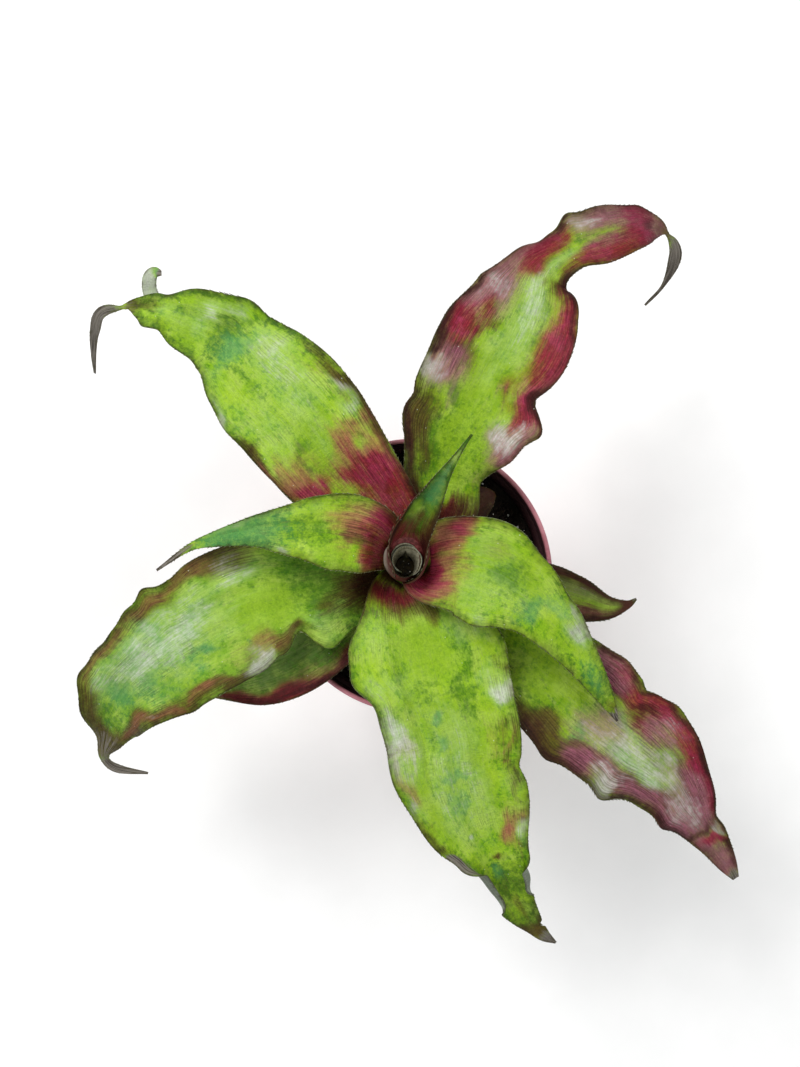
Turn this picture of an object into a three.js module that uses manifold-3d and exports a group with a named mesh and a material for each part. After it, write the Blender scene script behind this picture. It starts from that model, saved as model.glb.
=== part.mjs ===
// Earth star plant (a broad-leaved Cryptanthus) in a small round nursery pot.
// Millimetres, +Z up. The origin is the centre of the pot's underside.
import * as THREE from "three";
import { mergeVertices } from "three/addons/utils/BufferGeometryUtils.js";
import Module from "manifold-3d";

// Pot
const POT_HEIGHT = 80;
const RIM_RADIUS = 45;
const BASE_RADIUS = 31;
const WALL = 1.5;
const COLLAR_HEIGHT = 9;
const COLLAR_STEP = 1.4;
const LIP_ROUND = 0.5;
const FLOOR_THICKNESS = 1.8;
const DRAIN_HOLES = 8;
const DRAIN_RADIUS = 3;
const DRAIN_CIRCLE = 20;
const POT_SIDES = 48;

// Clearance between neighbouring pieces
const GAP = 0.35;

// Soil
const SOIL_EDGE = 68.5;
const SOIL_CROWN = 2.6;
const SOIL_LUMPS = 0.45;
const SOIL_SIDES = 40;
const SOIL_RINGS = 7;

// Stem: a short swollen stock on which the leaves sit in rings
const AXIS = new THREE.Vector2(-3.2, 5);
const STOCK_FOOT = 58;
const STOCK_FOOT_RADIUS = 3.4;
const STOCK_NECK = 70;
const STOCK_NECK_RADIUS = 6.5;
const STOCK_SHOULDER = 73.2;
const STOCK_SHOULDER_RADIUS = 10.4;
const STOCK_TOP = 79;
const STOCK_TOP_RADIUS = 2.8;
const STOCK_SIDES = 20;

// Roots run out and down from the stock
const ROOTS = 6;
const ROOT_RADIUS = 1.1;
const ROOT_START = 61;
const ROOT_DROP = 40;
const ROOT_REACH = 21;
const ROOT_SIDES = 6;
const ROOT_STEPS = 7;

// Bud: the youngest leaf, still a rolled spike inside the heart
const BUD_RADIUS = 1.6;
const BUD_TIP = 98.5;
const BUD_SIDES = 10;

// Leaves
const BLADE = 0.8;
const FIRST_RING = STOCK_TOP_RADIUS + GAP + BLADE / 2;
const RING_PITCH = BLADE + GAP;
const CHANNEL = 9;
const STEPS_PER_STATION = 2;
const NARROWEST = 0.4;
const FACING_PULL = 0.15;
const FULL_WAVE_WIDTH = 6;

// One entry for each leaf, from the heart of the rosette outwards. ring counts outwards from the
// stem, bend is the height where the sheath opens and mouth its radius there, wrap and open are
// half the angles that it clasps at its foot and at the bend, and hold is how slowly the blade
// opens flat.
// A station of the blade is [x, y, z, left width, right width, left lift, right lift], where the
// widths run from the midrib to the margins and the lifts raise the margins.
// waves and crest are the number and the height of the margin's small waves.
const LEAVES = [
  {
    name: "leaf_heart", ring: 0, bend: 92, mouth: 3.9, wrap: 166, open: 166, hold: 0.97,
    columns: 12, waves: 0, crest: 0, colour: "#c3cdb4",
    stations: [
      [-3, 9.2, 95, 12, 12, 0, 0],
      [-3, 9.7, 98, 12.2, 12.2, 0, 0],
      [-3, 10.2, 100.6, 12.2, 12.2, 0, 0],
    ],
  },
  {
    name: "leaf_young_upright", ring: 1, bend: 97, mouth: 6.5, wrap: 160, open: 160, hold: 0.5,
    columns: 10, waves: 3, crest: 0.2, colour: "#4f7d43",
    stations: [
      [-0.3, 16.2, 105.5, 9, 9, 0, 0],
      [4, 23.5, 112, 4.6, 5, 0, 0],
      [7.5, 29.5, 119, 3, 3, 0, 0],
      [11, 35.5, 127, 1.5, 1.6, 0, 0],
      [15.5, 42, 136, 0.4, 0.4, 0, 0],
    ],
  },
  {
    name: "leaf_short_left", ring: 2, bend: 94, mouth: 7.4, wrap: 62, open: 56, hold: 0.45,
    columns: 6, waves: 5, crest: 0.5, colour: "#5f9434",
    stations: [
      [-14, 12.5, 103, 11.5, 11, 0, 0],
      [-22, 14.5, 105.5, 12, 12, 0, 0],
      [-32, 15.5, 106, 9.8, 9.8, 0, 0],
      [-42, 15.5, 105, 6.8, 6.6, 0, 0],
      [-52, 14.5, 103, 4.5, 4.2, 0, 0],
      [-62, 12.5, 100, 2.8, 2.4, 0, 0],
      [-71, 9.5, 96.5, 1.2, 1.2, 0, 0],
      [-82.4, 2.2, 91, 0.4, 0.4, 0, 0],
    ],
  },
  {
    name: "leaf_top_right", ring: 2, bend: 93, mouth: 7.6, wrap: 74, open: 72, hold: 0.6,
    columns: 8, waves: 5, crest: 0.6, colour: "#63913a",
    stations: [
      [5.6, 2.3, 99.3, 15.5, 11, -4.5, 0],
      [14, 3.6, 104, 16.4, 15.2, 0, 0],
      [25, 0.5, 106, 16.5, 15.5, 0, 0],
      [36, -6.5, 105.5, 11.5, 11.5, 0, 0],
      [44, -15, 103, 8.5, 8.5, 0, 0],
      [51, -24, 99.5, 6, 6, 0, 0],
      [57, -33, 96, 4, 4, 0, 0],
      [62, -41, 92, 2, 2, 0, 0],
      [64.5, -46, 90, 0.4, 0.4, 0, 0],
    ],
  },
  {
    name: "leaf_big_upper_left", ring: 3, bend: 84, mouth: 8, wrap: 58, open: 54, hold: 0.45,
    columns: 8, waves: 6, crest: 1.1, colour: "#5d8f3a",
    stations: [
      [-9, 17, 91, 13, 13, 0, 0],
      [-22, 32, 96, 17.5, 17.5, 1, 0],
      [-37, 51, 99, 20, 20, -1, 1],
      [-51, 65, 98, 17, 18.5, 0, -1],
      [-61, 76, 95.5, 12.5, 14, 1, -1],
      [-73, 82, 96.5, 10, 9.5, -1, 1],
      [-84, 85, 92.5, 5, 5.4, 1, 0],
      [-93, 86, 89.5, 1.3, 2, 0, 0],
      [-101, 85, 86, 1.4, 1.4, 0, 0],
      [-105, 80, 79, 1.5, 1.5, 0, 0],
      [-107, 74, 72, 1, 1, 0, 0],
      [-108, 68, 66, 0.4, 0.4, 0, 0],
    ],
  },
  {
    name: "leaf_big_bottom", ring: 3, bend: 83, mouth: 7.9, wrap: 56, open: 52, hold: 0.5,
    columns: 8, waves: 6, crest: 1.1, colour: "#7a9a4a",
    stations: [
      [-3, -5, 90, 12, 13, 0, 0],
      [1, -14, 95, 21, 22, 0, 0],
      [3.5, -24, 97, 24.5, 24.5, 0, 0],
      [6, -33.5, 97.5, 24, 20, 0, 1.5],
      [8.6, -41.5, 96.5, 23, 20.5, 1, 1],
      [12, -51, 94.5, 21.5, 21.5, -1, 0],
      [13.5, -61, 92, 20.5, 21, 0, 0],
      [16.5, -72, 88, 20.2, 18.5, 0, 0],
      [20.5, -83, 83.5, 17.5, 15, 0, 1],
      [26, -94, 79, 12.8, 9.6, 2, 2],
      [32, -106, 73.5, 7.4, 6.8, 2, 3],
      [38, -115.5, 69.5, 4.5, 4.5, 0, 0],
      [43, -121.5, 66.5, 2.6, 2.2, 0, 0],
      [48, -125, 64, 0.4, 0.4, 0, 0],
    ],
  },
  {
    name: "leaf_big_upper_right", ring: 4, bend: 80, mouth: 9.6, wrap: 46, open: 44, hold: 0.45,
    columns: 8, waves: 7, crest: 1.1, colour: "#8f9a66",
    stations: [
      [8, 22, 87, 12, 12, 0, 0],
      [9.5, 34, 90, 13.5, 12.5, 1, -1],
      [14, 47, 93, 18.5, 20, 0, 1],
      [21, 61, 95, 20, 17.5, 1, -1],
      [29, 75, 96, 21, 20.5, 0, 1],
      [35, 88, 95.5, 15.5, 17.8, 0, -2],
      [39, 98, 95, 9, 11, -1, -2],
      [48, 104, 93.5, 7, 8, -1, 0],
      [58, 108.5, 91.5, 9, 9.5, 1, 0],
      [70, 113, 86, 7.5, 8, 0, 0],
      [78, 114.5, 80, 4, 4.5, 0, 0],
      [83.5, 112.5, 75, 2, 1.3, 0, 0],
      [87, 107, 69, 2.8, 1.9, 0, 0],
      [85, 99, 61, 1.5, 1.1, 0, 0],
      [80, 93, 55, 0.4, 0.4, 0, 0],
    ],
  },
  {
    name: "leaf_big_lower_left", ring: 4, bend: 80, mouth: 9.3, wrap: 46, open: 42, hold: 0.45,
    columns: 8, waves: 7, crest: 1.1, colour: "#7f9060",
    stations: [
      [-20, -1.5, 86, 13, 13, 0, 0],
      [-35, -5.5, 90, 16.5, 16.5, 0, 0],
      [-49, -7, 92, 17.5, 19.5, 2, 0],
      [-62, -13, 91.5, 21, 20.5, 0, 0],
      [-75, -21, 89, 20.6, 18, 1, 0],
      [-86, -29, 86, 19, 16.5, -1, 1],
      [-95, -37, 82, 15.4, 15.4, 1, -1],
      [-101.5, -46, 76, 12.4, 10, 0, 1],
      [-104, -54.5, 69.5, 6.8, 3.2, 0, 0],
      [-105, -61.5, 66, 1.8, 1.5, 0, 0],
      [-101, -66, 63.5, 1.6, 1.4, 0, 0],
      [-91, -68, 61, 0.4, 0.4, 0, 0],
    ],
  },
  {
    name: "leaf_big_lower_right", ring: 4, bend: 80, mouth: 9.9, wrap: 46, open: 44, hold: 0.45,
    columns: 8, waves: 7, crest: 1.1, colour: "#80895f",
    stations: [
      [13, -11, 84, 9.5, 9.5, 0, 0],
      [24, -17, 86, 12.5, 12.5, 0, 0],
      [36, -25, 88, 15.5, 15.5, 0, 0],
      [48, -36, 88.5, 19, 19, -1, 1],
      [60, -46.5, 87, 19, 19, 1, -1],
      [71, -56, 85, 17, 17.5, -1, 1],
      [83, -66, 80, 13.4, 14, 1, -1],
      [92, -78, 74.5, 9.3, 9.5, 0, 0],
      [100, -89, 69, 5.8, 5.7, 0, 0],
      [106, -98, 65, 3.4, 3.4, 0, 0],
      [109.5, -103.5, 62.5, 1.2, 1.2, 0, 0],
    ],
  },
  {
    name: "leaf_low_left", ring: 5, bend: 77.5, mouth: 10.2, wrap: 34, open: 32, hold: 0.4,
    columns: 6, waves: 4, crest: 0.6, colour: "#3f6a3c",
    stations: [
      [-15, -7.5, 81.5, 8.5, 8.5, 0, 0],
      [-28, -17, 83.5, 13, 12.5, 0, 0],
      [-41, -24, 84, 15, 14, 0, 0],
      [-54, -30, 81.5, 13.2, 11, 0, 0],
      [-66, -35, 77.5, 6, 5, 0, 0],
      [-75, -38, 74, 0.5, 0.5, 0, 0],
    ],
  },
  {
    name: "leaf_small_right", ring: 5, bend: 77, mouth: 10.3, wrap: 22, open: 22, hold: 0.4,
    columns: 6, waves: 4, crest: 0.4, colour: "#6d6a3a",
    stations: [
      [14, 2.5, 80, 6, 6, 0, 0],
      [27, -1.5, 82.5, 8.5, 8.5, 0, 0],
      [40, -4, 84, 9, 10, 0, 0],
      [52, -7, 83.5, 7.3, 8.2, 0, 0],
      [62, -10, 82, 4, 4.5, 0, 0],
      [69, -9.5, 80.5, 1.6, 1.6, 0, 0],
      [72.5, -7.5, 79.5, 0.4, 0.4, 0, 0],
    ],
  },
  {
    name: "leaf_stub_right", ring: 5, bend: 76, mouth: 9.9, wrap: 18, open: 18, hold: 0.4,
    columns: 6, waves: 2, crest: 0.2, colour: "#50242a",
    stations: [
      [7.5, 14.5, 77.2, 5.5, 5.5, 0, 0],
      [14, 20, 78.5, 7, 7, 0, 0],
      [20, 24, 78.5, 6, 6, 0, 0],
      [24, 26, 77.5, 3.6, 3.6, 0, 0],
      [26.5, 27, 76.5, 0.8, 0.8, 0, 0],
    ],
  },
  {
    name: "leaf_low_upper_left", ring: 5, bend: 77.5, mouth: 10.4, wrap: 30, open: 28, hold: 0.4,
    columns: 6, waves: 4, crest: 0.5, colour: "#8fa58a",
    stations: [
      [-14, 20, 82.5, 7, 7, 0, 0],
      [-28, 35.5, 86, 9.5, 9.5, 0, 0],
      [-45, 53, 87.5, 10.5, 10.5, 0, 0],
      [-61, 69, 87, 8.5, 8.5, 0, 0],
      [-74, 80.5, 86, 5.5, 5.5, 0, 0],
      [-82.5, 87, 85, 3, 3, 0, 0],
      [-85.4, 91.5, 85.5, 2.4, 2.4, 0, 0],
      [-85.2, 95.4, 87.5, 2.5, 2.2, 0, 0],
      [-83.4, 97.2, 89, 2.2, 1.7, 0, 0],
      [-81, 97, 90, 0.8, 0.8, 0, 0],
    ],
  },
];

const wasm = await Module();
wasm.setup();

// Closed three.js geometry to a solid, and a solid back to a geometry
function toSolid(geometry) {
  const bare = geometry.clone();
  bare.deleteAttribute("normal");
  bare.deleteAttribute("uv");
  const merged = mergeVertices(bare, 1e-4);
  return new wasm.Manifold(new wasm.Mesh({
    numProp: 3,
    vertProperties: new Float32Array(merged.attributes.position.array),
    triVerts: new Uint32Array(merged.index.array),
  }));
}

function toGeometry(solid) {
  const mesh = solid.getMesh();
  const geometry = new THREE.BufferGeometry();
  geometry.setAttribute("position", new THREE.BufferAttribute(mesh.vertProperties, 3));
  geometry.setIndex(new THREE.BufferAttribute(mesh.triVerts, 1));
  geometry.computeVertexNormals();
  return geometry;
}

// Body of revolution about the vertical through (x, y), from [radius, height] pairs
function revolve(profile, sides, x = 0, y = 0) {
  const points = profile.map(([radius, height]) => new THREE.Vector2(radius, height));
  return new THREE.LatheGeometry(points, sides).rotateX(Math.PI / 2).translate(x, y, 0);
}

// Inner radius of the pot's tapered wall at a height below the collar
function potInside(height) {
  const top = RIM_RADIUS - WALL - COLLAR_STEP;
  const ledge = POT_HEIGHT - COLLAR_HEIGHT;
  return THREE.MathUtils.lerp(BASE_RADIUS - WALL, top, height / ledge);
}

function pot() {
  const ledge = POT_HEIGHT - COLLAR_HEIGHT;
  const profile = [
    [0, 0],
    [BASE_RADIUS - 1, 0],
    [BASE_RADIUS, 1],
    [RIM_RADIUS - COLLAR_STEP - 0.2, ledge - 0.8],
    [RIM_RADIUS - 0.6, ledge],
    [RIM_RADIUS, POT_HEIGHT - LIP_ROUND],
    [RIM_RADIUS - LIP_ROUND, POT_HEIGHT],
    [RIM_RADIUS - WALL + LIP_ROUND, POT_HEIGHT],
    [RIM_RADIUS - WALL, POT_HEIGHT - LIP_ROUND],
    [RIM_RADIUS - WALL - 0.3, ledge + 1.2],
    [potInside(ledge), ledge],
    [potInside(FLOOR_THICKNESS + 1), FLOOR_THICKNESS + 1],
    [potInside(FLOOR_THICKNESS) - 1, FLOOR_THICKNESS],
    [0, FLOOR_THICKNESS],
  ];
  let solid = toSolid(revolve(profile, POT_SIDES));
  for (let i = 0; i < DRAIN_HOLES; i += 1) {
    const turn = (i / DRAIN_HOLES) * 2 * Math.PI;
    const hole = new THREE.CylinderGeometry(DRAIN_RADIUS, DRAIN_RADIUS, 4 * FLOOR_THICKNESS, 16);
    hole.rotateX(Math.PI / 2);
    hole.translate(DRAIN_CIRCLE * Math.cos(turn), DRAIN_CIRCLE * Math.sin(turn), 0);
    solid = solid.subtract(toSolid(hole));
  }
  return toGeometry(solid);
}

// Stock and roots, grown by a clearance: none for the piece itself, GAP for the hole it stands in
function stockAndRoots(grow) {
  const profile = [
    [0, STOCK_FOOT - grow],
    [STOCK_FOOT_RADIUS + grow, STOCK_FOOT - grow],
    [STOCK_NECK_RADIUS + grow, STOCK_NECK],
    [STOCK_SHOULDER_RADIUS + grow, STOCK_SHOULDER - 1 - grow],
    [STOCK_SHOULDER_RADIUS + grow, STOCK_SHOULDER + grow],
    [STOCK_TOP_RADIUS + grow, STOCK_TOP + grow],
    [0, STOCK_TOP + grow],
  ];
  let solid = toSolid(revolve(profile, STOCK_SIDES, AXIS.x, AXIS.y));
  for (let i = 0; i < ROOTS; i += 1) {
    solid = solid.add(toSolid(root(i, grow)));
  }
  return solid;
}

// One root: a thin tube that leaves the stock level and turns down
function root(index, grow) {
  const turn = ((index + 0.3 * Math.sin(5 * index)) / ROOTS) * 2 * Math.PI;
  const reach = ROOT_REACH * (1 - 0.18 * (index % 3));
  const drop = ROOT_DROP * (1 - 0.15 * (index % 2));
  const points = [0, 0.3, 0.62, 1].map((f) => {
    const out = (reach + grow * f) * Math.pow(f, 0.7);
    const swing = turn + 0.5 * f * Math.cos(3 * index);
    return new THREE.Vector3(
      AXIS.x + out * Math.cos(swing),
      AXIS.y + out * Math.sin(swing),
      ROOT_START - (drop + grow) * f * f,
    );
  });
  const section = new THREE.Shape();
  for (let k = 0; k < ROOT_SIDES; k += 1) {
    const angle = (k / ROOT_SIDES) * 2 * Math.PI;
    const radius = ROOT_RADIUS + grow;
    section[k ? "lineTo" : "moveTo"](radius * Math.cos(angle), radius * Math.sin(angle));
  }
  return new THREE.ExtrudeGeometry(section, {
    steps: ROOT_STEPS,
    extrudePath: new THREE.CatmullRomCurve3(points),
    bevelEnabled: false,
  });
}

// Potting mix: fills the pot below the collar, higher and lumpy round the stock
function soil() {
  const floor = FLOOR_THICKNESS + GAP;
  const edge = potInside(SOIL_EDGE) - GAP;
  const profile = [
    [0, floor],
    [potInside(FLOOR_THICKNESS) - 1.5, floor],
    [potInside(6) - GAP, 6],
    [edge, SOIL_EDGE],
  ];
  for (let ring = 1; ring <= SOIL_RINGS; ring += 1) {
    const share = ring / SOIL_RINGS;
    const rise = SOIL_CROWN * Math.sin((share * Math.PI) / 2);
    profile.push([edge * (1 - share), SOIL_EDGE + rise]);
  }
  const geometry = revolve(profile, SOIL_SIDES);
  const place = geometry.attributes.position;
  for (let i = 0; i < place.count; i += 1) {
    if (place.getZ(i) > SOIL_EDGE + 0.1) {
      const x = place.getX(i);
      const y = place.getY(i);
      const lumps = Math.sin(0.55 * x + 1) * Math.cos(0.48 * y) + Math.sin(0.31 * (x - y));
      place.setZ(i, place.getZ(i) + SOIL_LUMPS * lumps);
    }
  }
  return toGeometry(toSolid(geometry).subtract(stockAndRoots(GAP)));
}

// Height of the stock's sloping top at a radius
function stockTop(radius) {
  const share = (STOCK_SHOULDER_RADIUS - radius) / (STOCK_SHOULDER_RADIUS - STOCK_TOP_RADIUS);
  return THREE.MathUtils.lerp(STOCK_SHOULDER, STOCK_TOP, THREE.MathUtils.clamp(share, 0, 1));
}

// All stations of a leaf, with half the clasping angle added at the end of each: three up the
// sheath, round the stem, then the blade's own
function allStations(leaf) {
  const radius = FIRST_RING + leaf.ring * RING_PITCH;
  const facing = new THREE.Vector2(...leaf.stations[0]).sub(AXIS).angle();
  const wrap = THREE.MathUtils.degToRad(leaf.wrap);
  const open = THREE.MathUtils.degToRad(leaf.open);
  const channel = THREE.MathUtils.degToRad(CHANNEL);
  const foot = stockTop(radius - BLADE / 2) + 2 * GAP;
  const sheath = [
    [radius, foot, wrap],
    [radius, (foot + leaf.bend) / 2, (wrap + open) / 2],
    [leaf.mouth, leaf.bend, open],
  ];
  const rows = sheath.map(([out, height, angle]) => [
    AXIS.x + out * Math.cos(facing), AXIS.y + out * Math.sin(facing), height,
    out * angle, out * angle, 0, 0, angle,
  ]);
  leaf.stations.forEach((station, i) => {
    rows.push([...station, channel + (open - channel) * Math.pow(leaf.hold, i + 1)]);
  });
  return rows;
}

// Smooth row of values at place u along the stations
function rowAt(rows, u) {
  const i = Math.min(Math.floor(u), rows.length - 2);
  const f = u - i;
  const b = rows[i];
  const c = rows[i + 1];
  return b.map((_, k) => {
    const before = i > 0 ? rows[i - 1][k] : 2 * b[k] - c[k];
    const after = i + 2 < rows.length ? rows[i + 2][k] : 2 * c[k] - b[k];
    const m = (c[k] - before) / 2;
    const n = (after - b[k]) / 2;
    const curve = 2 * (b[k] - c[k]) + m + n;
    const bend = 3 * (c[k] - b[k]) - 2 * m - n;
    return ((curve * f + bend) * f + m) * f + b[k];
  });
}

// Point of a leaf's middle surface: u runs along the stations, s across from -1 (left) to 1
function leafPoint(leaf, rows, u, s) {
  const [x, y, z, left, right, leftLift, rightLift, angle] = rowAt(rows, u);
  const step = 0.02;
  const ahead = rowAt(rows, Math.min(u + step, rows.length - 1));
  const behind = rowAt(rows, Math.max(u - step, 0));
  const along = new THREE.Vector3(
    ahead[0] - behind[0], ahead[1] - behind[1], ahead[2] - behind[2],
  ).normalize();
  const facing = new THREE.Vector2(...leaf.stations[0]).sub(AXIS).setLength(FACING_PULL);
  const heading = new THREE.Vector3(along.x + facing.x, along.y + facing.y, 0).normalize();
  const across = new THREE.Vector3(heading.y, -heading.x, 0);
  const up = new THREE.Vector3().crossVectors(across, along).normalize();
  const width = Math.max(s > 0 ? right : left, NARROWEST);
  const bow = Math.max(left + right, 2 * NARROWEST) / 2 / angle;
  const turn = (s * width) / bow;
  const share = u / (rows.length - 1);
  const envelope = Math.sin(Math.PI * share) ** 2 * Math.min(1, width / FULL_WAVE_WIDTH);
  const phase = s > 0 ? leaf.waves : 2.5 * leaf.waves;
  const ripple = leaf.crest * envelope * Math.sin(2 * Math.PI * leaf.waves * share + phase);
  const lift = (s > 0 ? rightLift : leftLift) + ripple;
  return new THREE.Vector3(x, y, z)
    .addScaledVector(across, bow * Math.sin(turn))
    .addScaledVector(up, bow * (1 - Math.cos(turn)) + lift * s * s);
}

// Outward unit vector of the upper face
function leafNormal(leaf, rows, u, s) {
  const last = rows.length - 1;
  const along = leafPoint(leaf, rows, Math.min(u + 0.05, last), s)
    .sub(leafPoint(leaf, rows, Math.max(u - 0.05, 0), s));
  const across = leafPoint(leaf, rows, u, Math.min(s + 0.05, 1))
    .sub(leafPoint(leaf, rows, u, Math.max(s - 0.05, -1)));
  return across.cross(along).normalize();
}

// Closed blade: an upper and a lower face split alike, joined round the margin
function leafBlade(leaf) {
  const rows = allStations(leaf);
  const steps = (rows.length - 1) * STEPS_PER_STATION;
  const columns = leaf.columns;
  const points = [];
  for (const side of [1, -1]) {
    for (let i = 0; i <= steps; i += 1) {
      for (let j = 0; j <= columns; j += 1) {
        const u = i / STEPS_PER_STATION;
        const s = (2 * j) / columns - 1;
        const point = leafPoint(leaf, rows, u, s);
        point.addScaledVector(leafNormal(leaf, rows, u, s), (side * BLADE) / 2);
        points.push(point.x, point.y, point.z);
      }
    }
  }
  const under = (steps + 1) * (columns + 1);
  const at = (i, j) => i * (columns + 1) + j;
  const index = [];
  for (let i = 0; i < steps; i += 1) {
    for (let j = 0; j < columns; j += 1) {
      const corners = [at(i, j), at(i, j + 1), at(i + 1, j + 1), at(i + 1, j)];
      const [a, b, c, d] = corners;
      index.push(a, b, c, a, c, d);
      index.push(under + a, under + c, under + b, under + a, under + d, under + c);
    }
  }
  const margin = [];
  for (let j = 0; j < columns; j += 1) margin.push(at(0, j));
  for (let i = 0; i < steps; i += 1) margin.push(at(i, columns));
  for (let j = columns; j > 0; j -= 1) margin.push(at(steps, j));
  for (let i = steps; i > 0; i -= 1) margin.push(at(i, 0));
  margin.forEach((a, k) => {
    const b = margin[(k + 1) % margin.length];
    index.push(a, under + a, under + b, a, under + b, b);
  });
  const geometry = new THREE.BufferGeometry();
  geometry.setAttribute("position", new THREE.Float32BufferAttribute(points, 3));
  geometry.setIndex(index);
  geometry.computeVertexNormals();
  return geometry;
}

// Rolled spike on top of the stock
function bud() {
  const foot = STOCK_TOP + GAP;
  const profile = [
    [0, foot],
    [BUD_RADIUS, foot],
    [BUD_RADIUS, (foot + BUD_TIP) / 2],
    [BUD_RADIUS / 2, BUD_TIP - 3],
    [0, BUD_TIP],
  ];
  return revolve(profile, BUD_SIDES, AXIS.x, AXIS.y);
}

function piece(name, geometry, color, roughness) {
  const material = new THREE.MeshStandardMaterial({ color, roughness, metalness: 0 });
  const mesh = new THREE.Mesh(geometry, material);
  mesh.name = name;
  return mesh;
}

const plant = new THREE.Group();
plant.add(piece("pot", pot(), "#b0707c", 0.45));
plant.add(piece("soil", soil(), "#2a2320", 0.95));
plant.add(piece("stem_and_roots", toGeometry(stockAndRoots(0)), "#7a6040", 0.85));
plant.add(piece("leaf_bud", bud(), "#56703a", 0.5));
for (const leaf of LEAVES) {
  plant.add(piece(leaf.name, leafBlade(leaf), leaf.colour, 0.5));
}

export default plant;
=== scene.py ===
# Dressing of an earth star plant (a broad-leaved Cryptanthus) in its small nursery pot.
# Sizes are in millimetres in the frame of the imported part, and MM turns them into metres.
import math

import bpy
import numpy as np
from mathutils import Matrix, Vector


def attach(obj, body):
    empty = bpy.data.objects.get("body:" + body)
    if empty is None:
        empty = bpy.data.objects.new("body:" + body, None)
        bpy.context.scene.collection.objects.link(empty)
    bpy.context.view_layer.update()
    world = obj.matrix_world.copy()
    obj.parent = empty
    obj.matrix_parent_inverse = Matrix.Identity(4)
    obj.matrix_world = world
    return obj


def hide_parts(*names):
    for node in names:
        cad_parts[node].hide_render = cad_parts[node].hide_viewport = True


MM = 0.001
PHOTO_HEIGHT_PX = 1067
SENSOR = 36.0

# Camera of the photograph: straight down from 420 mm above the rim, a little off the pot's axis
CAMERA_PLACE = (-4.9, 13.9, 500.0)
FOCAL_PX = 1284.4

# Pot, as in the part
POT_HEIGHT = 80
RIM_RADIUS = 45
BASE_RADIUS = 31
WALL = 1.5
COLLAR_HEIGHT = 9
COLLAR_STEP = 1.4
FLOOR_THICKNESS = 1.8
DRAIN_HOLES = 8
DRAIN_RADIUS = 3
DRAIN_CIRCLE = 20
DRAIN_SIDES = 32
POT_SIDES = 176
SHARP_ANGLE = 35

# Soil, as in the part, with the loose grains that lie on it
GAP = 0.35
SOIL_EDGE = 68.5
SOIL_CROWN = 2.6
SOIL_LUMPS = 0.45
SOIL_SIDES = 150
SOIL_RINGS = 56
GRAIN_CLEARANCE = 1.2
GRAIN_LIFT = 0.3
GRAIN_CORNERS = (0.65, 1.2)
GRAIN_AXES = (0.6, 1.1)
CRUMBS = 1500
CRUMB_SIZES = (0.3, 1.0)
PERLITE = 460
PERLITE_SIZES = (0.15, 0.55)

# Stem and sheaths, as in the part. CHANNEL is half the angle in degrees that a blade stays bent by.
AXIS = np.array([-3.2, 5.0])
STOCK_SHOULDER = 73.2
STOCK_SHOULDER_RADIUS = 10.4
STOCK_TOP = 79
STOCK_TOP_RADIUS = 2.8
BUD_RADIUS = 1.6
BLADE = 0.8
FIRST_RING = STOCK_TOP_RADIUS + GAP + BLADE / 2
RING_PITCH = BLADE + GAP
CHANNEL = 9
NARROWEST = 0.4
FACING_PULL = 0.15
FULL_WAVE_WIDTH = 6

# Fine form of the leaves: the steps of their grid, their relief and their teeth
ROW_STEP = 0.6
COLUMN_STEP = 0.85
FEWEST_COLUMNS = 8
SLOPE_STEP = 0.02
MARGIN_THICKNESS = 0.2
TIP_THINNING = 0.65
SWELL_HEIGHT = 0.55
PUCKER_HEIGHT = 0.2
PLEAT_HEIGHT = 0.5
MIDRIB_DEPTH = 0.2
RUFFLE_HEIGHT = 0.7
RUFFLE_LENGTH = 5.5
TOOTH_PITCH = 1.5
TOOTH_HEIGHT = 0.25
TOOTH_FOOT = 0.25
TOOTH_THICKNESS = 0.13
TOOTHED = (0.16, 0.93)
TOOTH_HEIGHTS = (0.3, 1.1)
TOOTH_STEPS = (0.75, 1.3)
RIB_PITCH = 0.95
ROLL_EASE = 0.35
ROLL_SPAN = 0.5

# Between these lengths and half widths in millimetres a leaf gets its full relief and thickness
RELIEF_LENGTH = (4, 20)
RELIEF_WIDTH = (0.8, 7)
THICKNESS_WIDTH = (0.3, 4)

# Patches of colour: how far noise bends them, in stations and in sides, and how sharply they end
PATCH_DRIFT = 0.26
PATCH_RIPPLE = 0.12
PATCH_SWAY = 0.16
PATCH_EDGE = 1.4

# Heart of the rosette: a pale funnel that narrows to a pool of water, and the bud's leaning tip
MOUTH = (-3.3, 5.6, 101)
MOUTH_RADIUS = 4.45
MOUTH_OVAL = 0.2
POOL = (-3.4, 3.5, 94)
POOL_RADIUS = 2.8
FUNNEL_SKIN = 0.2
FUNNEL_DROP = 0.3
FUNNEL_CURVE = 0.7
FUNNEL_ROWS = 24
HEART_SIDES = 64
WATER_SIDES = 48
BUD_LEAN = (-3.3, 8.4, 98.8)
LINING_RADIUS = 6.3
LINING_HEIGHT = 97.6
LINING_RISE = 4.4
LINING_FLARE = 2.4
LINING_DROP = 0.15
LINING_CREASE = 0.12
LINING_WAVE = 0.3
LINING_ROWS = 14
BUD_RINGS = 60
BUD_SIDES = 40
BUD_RIBS = 0.07
LEAN_SPAN = (0.55, 1.15)

# Seeds of the noise. Those of a leaf go up with its number.
RELIEF_SEED = 40
PAINT_SEED = 60
TEETH_SEED = 90
SOIL_SEED = 11
CRUMB_SEED = 21
PERLITE_SEED = 22
LINING_SEED = 31

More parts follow.
